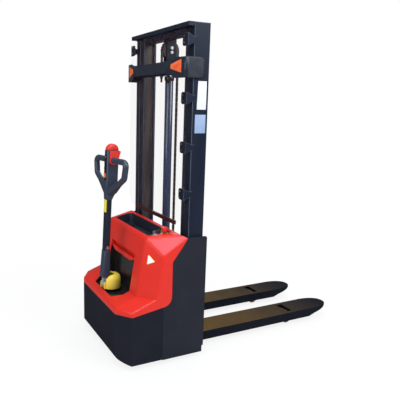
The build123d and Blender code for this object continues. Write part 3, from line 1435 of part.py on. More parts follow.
def throttle_paddles():
    inner = HEAD_HALF + BODY_GAP
    outer = inner + PADDLE_THICK
    front = HEAD_FACE + PADDLE_FRONT
    back = HEAD_FACE + PADDLE_BACK
    lobe_z = GRIP_Z - PADDLE_DROP
    paddle = plate_xz(
        [
            (front, lobe_z),
            (front, PADDLE_TOP),
            (back, PADDLE_TOP),
            (back - PADDLE_HOOK, GRIP_Z + PADDLE_DROP),
            (GRIP_X + PADDLE_LOBE, lobe_z),
        ],
        inner,
        outer,
    )

    def top_corner(edge):
        return edges_along((0, 1, 0))(edge) and edge.center().Z > PADDLE_TOP - 1

    paddle = rounded(paddle, PADDLE_ROUND, top_corner)
    paddle += rod_y(GRIP_X, lobe_z, PADDLE_LOBE, inner, outer)
    paddle -= rod_y(GRIP_X, GRIP_Z, GRIP_RADIUS + BODY_GAP, inner, outer)
    return [leaned(side) for side in both_sides(paddle)]


def lift_rocker():
    half = ROCKER_HEIGHT / 2
    rocker = plate_xz(
        [
            (HEAD_FACE - ROCKER_PROUD, ROCKER_Z + half),
            (HEAD_FACE - ROCKER_PROUD / 2, ROCKER_Z),
            (HEAD_FACE - ROCKER_PROUD, ROCKER_Z - half),
            (HEAD_FACE + BUTTON_DEPTH / 2, ROCKER_Z - half),
            (HEAD_FACE + BUTTON_DEPTH, ROCKER_Z),
            (HEAD_FACE + BUTTON_DEPTH / 2, ROCKER_Z + half),
        ],
        -ROCKER_HALF,
        ROCKER_HALF,
    )
    return leaned(rocker + rocker_pin(0))


def horn_button():
    button = rod_x(0, HORN_Z, HORN_RADIUS, HEAD_FACE - HORN_PROUD, HEAD_FACE + BUTTON_DEPTH)
    front = [edge for edge in button.edges().filter_by(GeomType.CIRCLE) if edge.center().X < HEAD_FACE]
    return leaned(fillet(front, HORN_RADIUS / 4))


def creep_button():
    half = CREEP_HEIGHT / 2
    button = block(
        HEAD_FACE - CREEP_PROUD, HEAD_FACE + BUTTON_DEPTH, -CREEP_HALF, CREEP_HALF,
        CREEP_Z - half, CREEP_Z + half,
    )
    button = fillet(button.edges().filter_by(Axis.X), CREEP_HALF / 2)
    return leaned(button)


# Castors
def caster_fork():
    plate_top = RAIL_LOW - CASTOR_ARM_GAP
    plate_low = plate_top - CASTOR_PLATE
    arm_in = CASTOR_WIDTH / 2 + CASTOR_ARM_GAP
    arm_out = arm_in + CASTOR_ARM
    fork_body = rod_z(CASTOR_X, CASTOR_Y, 3 * CASTOR_STEM_RADIUS, plate_low, plate_top)
    fork_body += rod_z(CASTOR_X, CASTOR_Y, CASTOR_STEM_RADIUS, plate_top, DECK_TOP)
    head_low = DECK_TOP + BODY_GAP
    fork_body += rod_z(CASTOR_X, CASTOR_Y, CASTOR_STEM_RADIUS, DECK_TOP, head_low)
    fork_body += rod_z(CASTOR_X, CASTOR_Y, 1.6 * CASTOR_STEM_RADIUS, head_low, head_low + CASTOR_PLATE)
    lower = 2 * CASTOR_AXLE_RADIUS
    arm = plate_xz(
        [
            (CASTOR_X - 2 * CASTOR_STEM_RADIUS, plate_low),
            (CASTOR_WHEEL_X - lower, CASTOR_RADIUS - lower),
            (CASTOR_WHEEL_X + lower, CASTOR_RADIUS - lower),
            (CASTOR_X + 3 * CASTOR_STEM_RADIUS, plate_low),
        ],
        CASTOR_Y + arm_in,
        CASTOR_Y + arm_out,
    )
    fork_body += arm
    fork_body += Pos(0, -arm_in - arm_out, 0) * arm
    crown = block(
        CASTOR_X - 2 * CASTOR_STEM_RADIUS, CASTOR_X + 3 * CASTOR_STEM_RADIUS,
        CASTOR_Y - arm_out, CASTOR_Y + arm_out,
        plate_low, plate_low + CASTOR_PLATE / 2,
    )
    fork_body += crown
    axle = rod_y(CASTOR_WHEEL_X, CASTOR_RADIUS, CASTOR_AXLE_RADIUS, CASTOR_Y - arm_out, CASTOR_Y + arm_out)
    return fork_body + axle


# Saved pieces
left_only = {
    "side_panel": [side_panel()],
    "outer_channel": [outer_channel()],
    "inner_channel": [inner_channel()],
    "fork": [fork()],
    "support_leg": support_leg(),
    "load_roller": [load_roller()],
    "caster_fork": [caster_fork()],
    "caster_wheel": [
        wheel(
            CASTOR_WHEEL_X, CASTOR_Y, CASTOR_RADIUS, CASTOR_WIDTH, CASTOR_AXLE_RADIUS + RUN_GAP,
            CASTOR_WIDTH / 8,
        )
    ],
}
for name, pieces in left_only.items():
    save(f"{name}_left", *pieces)
    save(f"{name}_right", *[mirrored(piece) for piece in pieces])

save("skirt_cover", skirt_cover())
save("hood", hood())
save("recess_liner", recess_liner())
save("storage_tray", storage_tray())
save("stop_button", stop_button())
save("ignition_key", ignition_key())
save("battery_meter", battery_meter())
save("base_frame", *base_frame())
save("batteries", *batteries())
save("hydraulic_unit", *hydraulic_unit())
save("motor_controller", motor_controller())
save("mast_top_beam", mast_top_beam())
save("mast_cross_members", *mast_cross_members())
save("mast_foot_beam", mast_foot_beam())
upper_rollers = roller_pair(UPPER_ROLLER_Z, INNER_ROLLER_RADIUS, UPPER_ROLLER_IN, UPPER_ROLLER_OUT)
lower_rollers = roller_pair(LOWER_ROLLER_Z, OUTER_ROLLER_RADIUS, LOWER_ROLLER_IN, LOWER_ROLLER_OUT)
save("mast_rollers_upper", *upper_rollers)
save("mast_rollers_lower", *lower_rollers)
for place, z in (("lower", CARRIAGE_ROLLER_LOW_Z), ("upper", CARRIAGE_ROLLER_HIGH_Z)):
    rollers = roller_pair(z, INNER_ROLLER_RADIUS, CARRIAGE_ROLLER_IN, CARRIAGE_ROLLER_OUT)
    save(f"carriage_rollers_{place}", *rollers)
save("inner_beams", inner_top_beam(), inner_foot_beam())
save("cylinder_barrel", *cylinder_barrel())
save("lift_rod", lift_rod())
save("pulley_bracket", *pulley_bracket())
save("chain_pulley", chain_pulley())
save("chain_wrap", chain_wrap())
save("chain_front_run", chain_run(CHAIN_FRONT_X, ANCHOR_TOP, PULLEY_Z))
save("chain_rear_run", chain_run(CHAIN_REAR_X, CHAIN_LUG_TOP, PULLEY_Z))
save("mast_cover", mast_cover())
save("mast_screen", mast_screen())
brackets = []
screws = []
for z in SCREEN_BRACKET_Z:
    brackets += at_bracket_sides(screen_bracket(z), z)
    for screw in bracket_screws(z):
        screws += at_bracket_sides(screw, z)
save("screen_brackets", *brackets)
save("bracket_screws", *screws)
save("fork_carriage", fork_carriage())
save("drive_housing", turned(drive_housing()))
save("drive_motor", turned(drive_motor()))
drive_bore = DRIVE_AXLE_RADIUS + RUN_GAP
drive_wheel = wheel(STEER_X, 0, DRIVE_RADIUS, DRIVE_WIDTH, drive_bore, DRIVE_WIDTH / 12)
save("drive_wheel", turned(drive_wheel))
save("tiller_base", turned(tiller_base()))
save("tiller_cover", turned(tiller_cover()))
save("tiller_shaft", turned(tiller_shaft()))
save("tiller_sleeve", turned(tiller_sleeve()))
save("tiller_head", turned(tiller_head()))
save("belly_button", turned(belly_button()))
save("throttle_paddles", *[turned(paddle) for paddle in throttle_paddles()])
save("lift_rocker", turned(lift_rocker()))
save("horn_button", turned(horn_button()))
save("creep_button", turned(creep_button()))
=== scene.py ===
import json
import math

import bmesh
import bpy
from mathutils import Matrix, Vector


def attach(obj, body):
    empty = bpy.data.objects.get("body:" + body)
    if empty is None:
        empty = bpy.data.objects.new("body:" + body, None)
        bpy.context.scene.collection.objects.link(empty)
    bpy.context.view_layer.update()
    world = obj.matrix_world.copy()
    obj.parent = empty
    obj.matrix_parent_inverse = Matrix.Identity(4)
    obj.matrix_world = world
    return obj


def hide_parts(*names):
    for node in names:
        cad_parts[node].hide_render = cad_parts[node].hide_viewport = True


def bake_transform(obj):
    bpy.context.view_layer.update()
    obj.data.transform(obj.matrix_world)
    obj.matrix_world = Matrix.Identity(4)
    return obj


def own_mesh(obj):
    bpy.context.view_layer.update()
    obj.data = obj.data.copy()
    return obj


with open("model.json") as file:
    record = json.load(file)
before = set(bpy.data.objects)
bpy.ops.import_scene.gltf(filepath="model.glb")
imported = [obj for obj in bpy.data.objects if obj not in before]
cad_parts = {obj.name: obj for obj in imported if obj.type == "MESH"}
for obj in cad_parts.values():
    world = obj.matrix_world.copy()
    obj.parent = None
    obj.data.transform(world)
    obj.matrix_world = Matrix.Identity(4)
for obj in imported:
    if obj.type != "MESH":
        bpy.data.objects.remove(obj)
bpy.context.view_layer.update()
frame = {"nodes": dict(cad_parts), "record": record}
nodes = frame["nodes"]

# Directions and sides
LENGTHWISE = (1, 0, 0)
LEFTWARD = (0, 1, 0)
RIGHTWARD = (0, -1, 0)
UPWARD = (0, 0, 1)
SIDES = (("left", 1), ("right", -1))

# Camera before the operator's right hand, a little above the hood
CAMERA_PLACE = Vector((-1.8363, -2.7477, 1.5213))
CAMERA_YAW = math.radians(25.9)
CAMERA_PITCH = math.radians(10.9)
CAMERA_ROLL = math.radians(-1.0)
CAMERA_LENS = 43.79
CAMERA_SENSOR = 36
CAMERA_SHIFT = (0.125, -0.003)


def aimed_camera():
    forward = Vector(
        (
            math.sin(CAMERA_YAW) * math.cos(CAMERA_PITCH),
            math.cos(CAMERA_YAW) * math.cos(CAMERA_PITCH),
            -math.sin(CAMERA_PITCH),
        )
    )
    right = Vector((math.cos(CAMERA_YAW), -math.sin(CAMERA_YAW), 0))
    down = forward.cross(right)
    rolled_right = right * math.cos(CAMERA_ROLL) + down * math.sin(CAMERA_ROLL)
    rolled_down = down * math.cos(CAMERA_ROLL) - right * math.sin(CAMERA_ROLL)
    turn = Matrix((rolled_right, -rolled_down, -forward)).transposed()
    data = bpy.data.cameras.new("camera")
    data.lens = CAMERA_LENS
    data.sensor_width = CAMERA_SENSOR
    data.shift_x, data.shift_y = CAMERA_SHIFT
    camera = bpy.data.objects.new("camera", data)
    camera.matrix_world = Matrix.Translation(CAMERA_PLACE) @ turn.to_4x4()
    bpy.context.scene.collection.objects.link(camera)
    bpy.context.scene.camera = camera


# Values and colours that finishes are made from
PATCH_SPAN = (0.35, 0.65)
PATCH_DETAIL = 4.0
GRAIN_DETAIL = 2.0
EVEN = (1, 1, 1)


def new_finish(name):
    made = bpy.data.materials.new(name)
    made.use_nodes = True
    tree = made.node_tree
    return made, tree, tree.nodes["Principled BSDF"]


def noise(tree, scale, detail=3.0, stretch=EVEN):
    place = tree.nodes.new("ShaderNodeTexCoord")
    spread = tree.nodes.new("ShaderNodeMapping")
    spread.inputs["Scale"].default_value = stretch
    grain = tree.nodes.new("ShaderNodeTexNoise")
    grain.inputs["Scale"].default_value = scale
    grain.inputs["Detail"].default_value = detail
    tree.links.new(place.outputs["Object"], spread.inputs["Vector"])
    tree.links.new(spread.outputs["Vector"], grain.inputs["Vector"])
    return grain.outputs["Fac"]


def ranged(tree, value, low, high, start=0.0, end=1.0):
    span = tree.nodes.new("ShaderNodeMapRange")
    span.inputs["From Min"].default_value = start
    span.inputs["From Max"].default_value = end
    span.inputs["To Min"].default_value = low
    span.inputs["To Max"].default_value = high
    tree.links.new(value, span.inputs["Value"])
    return span.outputs["Result"]


def blended(tree, value, first, second):
    ramp = tree.nodes.new("ShaderNodeValToRGB")
    for stop, position, colour in zip(ramp.color_ramp.elements, PATCH_SPAN, (first, second)):
        stop.position = position
        stop.color = (*colour, 1)
    tree.links.new(value, ramp.inputs["Fac"])
    return ramp.outputs["Color"]


def combined(tree, operation, first, second):
    step = tree.nodes.new("ShaderNodeMath")
    step.operation = operation
    tree.links.new(first, step.inputs[0])
    tree.links.new(second, step.inputs[1])
    return step.outputs[0]


def along(tree, axis, start, end):
    """Share from 0 to 1 between two places along an axis of the object."""
    place = tree.nodes.new("ShaderNodeTexCoord")
    split = tree.nodes.new("ShaderNodeSeparateXYZ")
    tree.links.new(place.outputs["Object"], split.inputs["Vector"])
    return ranged(tree, split.outputs[axis], 0, 1, start, end)


def tinted(made, share, tint):
    """Turns the colour of a finish towards a tint by a share."""
    tree = made.node_tree
    colour = tree.nodes["Principled BSDF"].inputs["Base Color"]
    mix = tree.nodes.new("ShaderNodeMix")
    mix.data_type = "RGBA"
    tree.links.new(share, mix.inputs["Factor"])
    tree.links.new(colour.links[0].from_socket, mix.inputs["A"])
    tree.links.new(tint, mix.inputs["B"])
    tree.links.new(mix.outputs["Result"], colour)


# Studio with a pale floor and soft lamps
FLOOR_REACH = 14.0
FLOOR_FADE = (1.0, 2.6)
FLOOR_LIFT = 0.86
FLOOR_PALE = 0.9
FLOOR_DIM = 0.2
FLOOR_ROUGH = 0.9
FLOOR_GLOSS = 0.1
WORLD_SEEN = 1.0
WORLD_LIGHT = 0.34
WORLD_SHEEN = 0.12
LIGHT_TARGET = Vector((-0.3, 0, 0.9))
WHITE = (1, 1, 1)
COOL = (0.62, 0.76, 1.0)
LIGHTS = {
    "key": {"place": (1.6, -3.6, 3.6), "size": 2.6, "power": 125, "colour": WHITE},
    "fill": {"place": (-4.0, -1.2, 2.4), "size": 2.4, "power": 52, "colour": WHITE},
    "top": {"place": (-0.2, 0.1, 4.6), "size": 3.0, "power": 75, "colour": WHITE},
    "back": {"place": (2.2, 3.2, 3.0), "size": 2.4, "power": 45, "colour": WHITE},
    "facet": {"place": (-1.35, -2.0, 3.7), "size": 1.2, "power": 48, "colour": COOL},
}


def softbox(name, place, size, power, colour):
    data = bpy.data.lights.new(name, "AREA")
    data.color = colour
    data.size = size
    data.energy = power
    light = bpy.data.objects.new(name, data)
    light.location = place
    light.rotation_euler = (LIGHT_TARGET - Vector(place)).to_track_quat("-Z", "Y").to_euler()
    bpy.context.scene.collection.objects.link(light)


def seen_directly(tree, path):
    return combined(tree, "MAXIMUM", path.outputs["Is Camera Ray"], path.outputs["Is Transmission Ray"])


def pale_world():
    world = bpy.data.worlds.new("studio")
    world.use_nodes = True
    tree = world.node_tree
    path = tree.nodes.new("ShaderNodeLightPath")
    unseen = ranged(tree, path.outputs["Is Glossy Ray"], WORLD_LIGHT, WORLD_SHEEN)
    level = ranged(tree, seen_directly(tree, path), WORLD_LIGHT, WORLD_SEEN)
    tree.links.new(unseen, level.node.inputs["To Min"])
    tree.links.new(level, tree.nodes["Background"].inputs["Strength"])
    tree.nodes["Background"].inputs["Color"].default_value = (*WHITE, 1)
    bpy.context.scene.world = world


def pale_floor():
    mesh = bpy.data.meshes.new("floor")
    corners = [(-1, -1), (1, -1), (1, 1), (-1, 1)]
    mesh.from_pydata([(x * FLOOR_REACH, y * FLOOR_REACH, 0) for x, y in corners], [], [(0, 1, 2, 3)])
    floor = bpy.data.objects.new("floor", mesh)
    bpy.context.scene.collection.objects.link(floor)
    made, tree, shader = new_finish("floor")
    shader.inputs["Roughness"].default_value = FLOOR_ROUGH
    shader.inputs["Specular IOR Level"].default_value = FLOOR_GLOSS
    path = tree.nodes.new("ShaderNodeLightPath")
    tone = ranged(tree, path.outputs["Is Glossy Ray"], FLOOR_PALE, FLOOR_DIM)
    tree.links.new(tone, shader.inputs["Base Color"])
    place = tree.nodes.new("ShaderNodeTexCoord")
    length = tree.nodes.new("ShaderNodeVectorMath")
    length.operation = "LENGTH"
    tree.links.new(place.outputs["Object"], length.inputs[0])
    fade = ranged(tree, length.outputs["Value"], FLOOR_LIFT, 1, *FLOOR_FADE)
    fade.node.interpolation_type = "SMOOTHSTEP"
    glow = tree.nodes.new("ShaderNodeEmission")
    mix = tree.nodes.new("ShaderNodeMixShader")
    tree.links.new(combined(tree, "MULTIPLY", fade, seen_directly(tree, path)), mix.inputs["Fac"])
    tree.links.new(shader.outputs[0], mix.inputs[1])
    tree.links.new(glow.outputs[0], mix.inputs[2])
    tree.links.new(mix.outputs[0], tree.nodes["Material Output"].inputs["Surface"])
    mesh.materials.append(made)


# Painted, moulded and bare metal finishes
COAT_ROUGH = 0.08
GRAIN_HEIGHT = 0.001
RIM_SAMPLES = 6
MAST_DARK = (0.012, 0.0165, 0.031)
MAST_LIGHT = (0.0145, 0.019, 0.034)
TUBE_DARK = (0.014, 0.018, 0.031)
TUBE_LIGHT = (0.0165, 0.0205, 0.034)
SOOT_DARK = (0.008, 0.008, 0.009)
SOOT_LIGHT = (0.013, 0.013, 0.014)
LOOKS = {
    "skirt_black": dict(
        dark=(0.0135, 0.0155, 0.0235), light=(0.016, 0.018, 0.0265), rough=(0.50, 0.60),
        gloss=0.06, grain=700, depth=0.25,
    ),
    "panel_black": dict(
        dark=(0.0165, 0.019, 0.029), light=(0.019, 0.0215, 0.032), rough=(0.48, 0.58),
        gloss=0.2, grain=700, depth=0.25,
    ),
    "hood_red": dict(
        dark=(0.72, 0.024, 0.0135), light=(0.74, 0.026, 0.015), rough=(0.30, 0.36),
        gloss=0.3, coat=0.12, mottle=3, grain=500, depth=0.03,
    ),
    "liner_black": dict(
        dark=(0.013, 0.0115, 0.0125), light=(0.018, 0.016, 0.017), rough=(0.16, 0.26),
        gloss=0.5, coat=0.25,
    ),
    "tray_black": dict(
        dark=(0.029, 0.034, 0.050), light=(0.034, 0.039, 0.056), rough=(0.40, 0.55),
        gloss=0.3, grain=600, depth=0.2,
    ),
    "mast_black": dict(
        dark=MAST_DARK, light=MAST_LIGHT, rough=(0.26, 0.36),
        gloss=0.12, grain=260, depth=0.05, stretch=(1, 1, 0.25), rim=0.007,
    ),
    "inner_mast_black": dict(
        dark=(0.012, 0.0155, 0.027), light=(0.017, 0.020, 0.031), rough=(0.24, 0.42),
        gloss=0.3, mottle=26, grain=260, depth=0.02, stretch=(1, 1, 0.12), rim=0.006,
    ),
    "fork_black": dict(
        dark=(0.0085, 0.0100, 0.0160), light=(0.0110, 0.0125, 0.0185), rough=(0.5, 0.65),
        gloss=0.03, grain=220, depth=0.06, rim=0.003,
    ),
    "frame_black": dict(
        dark=(0.011, 0.0135, 0.021), light=(0.0145, 0.017, 0.025), rough=(0.4, 0.52),
        gloss=0.25, grain=260, depth=0.08, rim=0.003,
    ),
    "roller_steel": dict(
        dark=(0.10, 0.10, 0.105), light=(0.20, 0.20, 0.205), rough=(0.3, 0.44),
        metal=0.9, grain=300, stretch=(1, 12, 1),
    ),
    "rod_chrome": dict(
        dark=(0.66, 0.67, 0.69), light=(0.74, 0.75, 0.77), rough=(0.06, 0.14),
        metal=1.0, grain=300, depth=0.01,
    ),
    "chain_steel": dict(
        dark=(0.030, 0.027, 0.025), light=(0.085, 0.078, 0.072), rough=(0.3, 0.5),
        metal=0.6, mottle=60,
    ),
    "cover_black": dict(
        dark=(0.0155, 0.0205, 0.033), light=(0.018, 0.023, 0.036), rough=(0.24, 0.32),
        gloss=0.4, grain=600, depth=0.12, rim=0.008,
    ),
    "tiller_black": dict(
        dark=(0.030, 0.041, 0.066), light=(0.035, 0.046, 0.073), rough=(0.28, 0.38),
        gloss=0.5, coat=0.1, grain=700, depth=0.15,
    ),
    "tube_black": dict(
        dark=TUBE_DARK, light=TUBE_LIGHT, rough=(0.34, 0.44),
        gloss=0.15, grain=300, depth=0.06,
    ),
    "control_red": dict(
        dark=(0.74, 0.040, 0.026), light=(0.80, 0.050, 0.034), rough=(0.28, 0.36),
        gloss=0.4, coat=0.12, grain=500, depth=0.03,
    ),
    "cover_yellow": dict(
        dark=(0.97, 0.69, 0.07), light=(1.0, 0.74, 0.09), rough=(0.30, 0.38),
        gloss=0.4, coat=0.12, grain=500, depth=0.03,
    ),
    "control_orange": dict(
        dark=(0.8, 0.2, 0.03), light=(0.88, 0.26, 0.05), rough=(0.3, 0.4),
        coat=0.2,
    ),
    "control_black": dict(
        dark=(0.006, 0.0065, 0.009), light=(0.009, 0.010, 0.013), rough=(0.25, 0.4),
        gloss=0.35, grain=600, depth=0.08,
    ),
    "screw_steel": dict(
        dark=(0.42, 0.43, 0.45), light=(0.56, 0.57, 0.59), rough=(0.22, 0.34),
        metal=1.0, mottle=120,
    ),
    "wheel_polyurethane": dict(
        dark=(0.34, 0.11, 0.03), light=(0.46, 0.16, 0.05), rough=(0.4, 0.55),
        mottle=30,
    ),
    "drive_tyre": dict(
        dark=SOOT_DARK, light=SOOT_LIGHT, rough=(0.6, 0.75),
        gloss=0.3, mottle=30, grain=300, depth=0.3,
    ),
    "caster_tyre": dict(
        dark=SOOT_DARK, light=SOOT_LIGHT, rough=(0.55, 0.7),
        gloss=0.3, mottle=30, grain=300, depth=0.3,
    ),
    "battery_case": dict(
        dark=SOOT_DARK, light=SOOT_LIGHT, rough=(0.5, 0.62),
        gloss=0.3, grain=500, depth=0.2,
    ),
    "motor_black": dict(
        dark=SOOT_DARK, light=SOOT_LIGHT, rough=(0.42, 0.55),
        gloss=0.3, grain=260, depth=0.1,
    ),
    "heat_sink": dict(
        dark=(0.22, 0.22, 0.23), light=(0.3, 0.3, 0.31), rough=(0.38, 0.5),
        metal=0.9, grain=400,
    ),
    "reflector_orange": dict(
        dark=(0.80, 0.105, 0.036), light=(0.92, 0.19, 0.055), rough=(0.2, 0.3),
        gloss=0.4, mottle=40, grain=900, depth=0.1,
    ),
    "reflector_white": dict(
        dark=(0.90, 0.89, 0.86), light=(0.96, 0.95, 0.92), rough=(0.2, 0.3),
        gloss=0.4, mottle=60, grain=900, depth=0.1,
    ),
    "pulley_dark": dict(
        dark=(0.016, 0.018, 0.022), light=(0.030, 0.032, 0.036), rough=(0.3, 0.42),
        metal=0.4, grain=300, stretch=(1, 12, 1),
    ),
    "barrel_gloss": dict(
        dark=(0.026, 0.044, 0.088), light=(0.031, 0.050, 0.098), rough=(0.18, 0.24),
        gloss=0.6, coat=0.4, grain=260, depth=0.02,
    ),
    "cross_black": dict(
        dark=MAST_DARK, light=MAST_LIGHT, rough=(0.24, 0.34),
        gloss=0.3, grain=260, depth=0.05,
    ),
    "screw_black": dict(
        dark=(0.016, 0.018, 0.023), light=(0.026, 0.028, 0.033), rough=(0.3, 0.42),
        metal=0.5, mottle=120,
    ),
    # Painted highlight along edges, partly rubbed paint: a lighter, glossier colour for the bevel strips of
    # the mast channels and screen brackets
    "edge_highlight_and_wear": dict(
        dark=(0.055, 0.070, 0.100), light=(0.085, 0.105, 0.145), rough=(0.26, 0.36),
        gloss=0.4, mottle=30, grain=300, depth=0.05, stretch=(1, 1, 0.3),
    ),
    "base_steel": dict(
        dark=TUBE_DARK, light=TUBE_LIGHT, rough=(0.34, 0.44),
        gloss=0.25, grain=300, depth=0.06,
    ),
    "weld_black": dict(
        dark=(0.011, 0.013, 0.018), light=(0.016, 0.018, 0.023), rough=(0.34, 0.46),
        gloss=0.36, mottle=80, grain=400, depth=0.2,
    ),
    "ring_yellow": dict(
        dark=(0.55, 0.58, 0.06), light=(0.64, 0.66, 0.08), rough=(0.35, 0.45),
        mottle=30,
    ),
    "rim_amber": dict(
        dark=(0.90, 0.46, 0.03), light=(0.96, 0.56, 0.05), rough=(0.3, 0.4),
        mottle=30,
    ),
    "meter_glass": dict(
        dark=(0.010, 0.012, 0.014), light=(0.014, 0.016, 0.019), rough=(0.06, 0.12),
        gloss=0.5, coat=0.4, depth=0.01,
    ),
    "plate_white": dict(
        dark=(0.76, 0.77, 0.79), light=(0.82, 0.83, 0.84), rough=(0.35, 0.45),
        mottle=20,
    ),
    "plate_blue": dict(
        dark=(0.28, 0.39, 0.58), light=(0.32, 0.43, 0.62), rough=(0.3, 0.4),
        mottle=20,
    ),
    "plate_yellow": dict(
        dark=(0.86, 0.74, 0.03), light=(0.92, 0.80, 0.05), rough=(0.35, 0.45),
        mottle=20,
    ),
}


def coated(
    name,
    dark,
    light,
    rough,
    metal=0.0,
    coat=0.0,
    gloss=0.5,
    mottle=9.0,
    grain=900.0,
    depth=0.05,
    stretch=EVEN,
    rim=0.0,
):
    """Finish with faint patches between two colours, a fine grain and, where asked, rolled rims."""
    made, tree, shader = new_finish(name)
    shader.inputs["Metallic"].default_value = metal
    shader.inputs["Coat Weight"].default_value = coat
    shader.inputs["Coat Roughness"].default_value = COAT_ROUGH
    shader.inputs["Specular IOR Level"].default_value = gloss
    patches = noise(tree, mottle, PATCH_DETAIL, stretch)
    tree.links.new(blended(tree, patches, dark, light), shader.inputs["Base Color"])
    tree.links.new(ranged(tree, patches, *rough, *PATCH_SPAN), shader.inputs["Roughness"])
    bump = tree.nodes.new("ShaderNodeBump")
    bump.inputs["Strength"].default_value = depth
    bump.inputs["Distance"].default_value = GRAIN_HEIGHT
    tree.links.new(noise(tree, grain, GRAIN_DETAIL, stretch), bump.inputs["Height"])
    tree.links.new(bump.outputs["Normal"], shader.inputs["Normal"])
    if rim:
        rolled = tree.nodes.new("ShaderNodeBevel")
        rolled.samples = RIM_SAMPLES
        rolled.inputs["Radius"].default_value = rim
        tree.links.new(rolled.outputs["Normal"], bump.inputs["Normal"])
    return made


# Clear plastic of the mast's screen, with a faint red tint that is a painted reflection of the red hood
SHEET_COVER = 0.04
SHEET_GLOSS = 0.4
SHEET_REFLECTION_DARK = (0.15, 0.065, 0.075)
SHEET_REFLECTION_LIGHT = (0.19, 0.085, 0.095)
SHEET_ROUGH = (0.02, 0.06)
SHEET_REFLECTION_PATCHES = 5.0
SHEET_SMEARS = 14.0


def clear_sheet(name):
    made, tree, shader = new_finish(name)
    shader.inputs["Alpha"].default_value = SHEET_COVER
    shader.inputs["Specular IOR Level"].default_value = SHEET_GLOSS
    # Painted reflection: the red hood's reflection is painted into the sheet's colour
    colour = blended(tree, noise(tree, SHEET_REFLECTION_PATCHES), SHEET_REFLECTION_DARK, SHEET_REFLECTION_LIGHT)
    tree.links.new(colour, shader.inputs["Base Color"])
    smears = ranged(tree, noise(tree, SHEET_SMEARS), *SHEET_ROUGH, *PATCH_SPAN)
    tree.links.new(smears, shader.inputs["Roughness"])
    return made


finishes = {name: coated(name, **look) for name, look in LOOKS.items()}
finishes["screen_clear"] = clear_sheet("screen_clear")

# Painted warm sheen on the upward faces of the fork blades, growing from the tips to the shanks: a painted
# reflection of light falling on the tops
BLADE_SHEEN_RUN = (0.80, -0.25)
BLADE_SHEEN_HIGH = 0.11
BLADE_SHEEN_FADE = 0.02
BLADE_SHEEN_DARK = (0.100, 0.059, 0.018)
BLADE_SHEEN_LIGHT = (0.122, 0.073, 0.023)
BLADE_SHEEN_PATCHES = 7.0
SHEEN_FACES_UP = (0.5, 0.9)


def painted_blade_sheen(made):
    tree = made.node_tree
    facing = tree.nodes.new("ShaderNodeNewGeometry")
    split = tree.nodes.new("ShaderNodeSeparateXYZ")
    tree.links.new(facing.outputs["Normal"], split.inputs["Vector"])
    upward = ranged(tree, split.outputs["Z"], 0, 1, *SHEEN_FACES_UP)
    low = along(tree, "Z", BLADE_SHEEN_HIGH + BLADE_SHEEN_FADE, BLADE_SHEEN_HIGH)
    # Painted reflection: only upward faces, towards the shanks and near the top, get the warm sheen
    share = combined(tree, "MULTIPLY", along(tree, "X", *BLADE_SHEEN_RUN), upward)
    share = combined(tree, "MULTIPLY", share, low)
    tinted(made, share, blended(tree, noise(tree, BLADE_SHEEN_PATCHES, PATCH_DETAIL), BLADE_SHEEN_DARK, BLADE_SHEEN_LIGHT))


# Bands of another colour on the inner webs, stiffener bar, tiller tube, cylinder gland and tiller base
BAND_EDGE = 0.0004
BAND_PATCHES = 16.0
BAND_STRETCH = (1, 1, 0.2)
BANDS = {
    "inner_mast_black": {
        "axis": "X",
        "limits": (-0.415, -0.355),
        "dark": (0.034, 0.027, 0.026),
        "light": (0.066, 0.055, 0.052),
    },
    "cross_black": {
        "axis": "Z",
        "limits": (0.82, 0.86),
        "dark": (0.055, 0.010, 0.010),
        "light": (0.075, 0.013, 0.012),
    },
    "tube_black": {
        "axis": "Z",
        "limits": (0.30, 0.4625),
        "dark": (0.30, 0.31, 0.33),
        "light": (0.42, 0.43, 0.45),
    },
    "barrel_gloss": {
        "axis": "Z",
        "limits": (1.655, 1.70),
        "dark": (0.010, 0.012, 0.018),
        "light": (0.013, 0.015, 0.022),
    },
    "base_steel": {
        "axis": "Z",
        "limits": (0.386, 0.48),
        "dark": (0.93, 0.66, 0.08),
        "light": (0.97, 0.71, 0.10),
    },
}


def banded(made, axis, limits, dark, light):
    tree = made.node_tree
    start, end = limits
    after_start = along(tree, axis, start - BAND_EDGE, start + BAND_EDGE)
    before_end = along(tree, axis, end + BAND_EDGE, end - BAND_EDGE)
    inside = combined(tree, "MULTIPLY", after_start, before_end)
    tinted(made, inside, blended(tree, noise(tree, BAND_PATCHES, PATCH_DETAIL, BAND_STRETCH), dark, light))


# Painted warm sheen on the fork tops
painted_blade_sheen(finishes["fork_black"])
for name, band in BANDS.items():
    banded(finishes[name], **band)

# Pieces of the truck with their finishes and softened edges
NODE_FINISH = {
    "tiller_base": "base_steel",
    "inner_beams": "mast_black",
    "fork_carriage": "frame_black",
    "pulley_bracket": "mast_black",
    "chain_pulley": "pulley_dark",
    "cylinder_barrel": "barrel_gloss",
    "mast_cross_members": "cross_black",
}
CHANNELS = ("outer_channel_left", "outer_channel_right", "inner_channel_left", "inner_channel_right")
CHANNEL_ROUND = 0.003
EDGE_ROUND = {
    "hood": 0.004,
    "skirt_cover": 0.004,
    "storage_tray": 0.002,
    "tiller_cover": 0.002,
    **{channel: CHANNEL_ROUND for channel in CHANNELS},
}
EDGE_DEFAULT = 0.0012
EDGE_SHARP = math.radians(32)
EDGE_SEGMENTS = 2
SEAM_REACH = 0.00001
HIGHLIT_WORN_EDGES = (*CHANNELS, "screen_brackets")


def softened(node, width):
    seams = node.modifiers.new("weld", "WELD")
    seams.merge_threshold = SEAM_REACH
    edges = node.modifiers.new("round edges", "BEVEL")
    edges.width = width
    edges.segments = EDGE_SEGMENTS
    edges.limit_method = "ANGLE"
    edges.angle_limit = EDGE_SHARP
    edges.harden_normals = True
    return edges


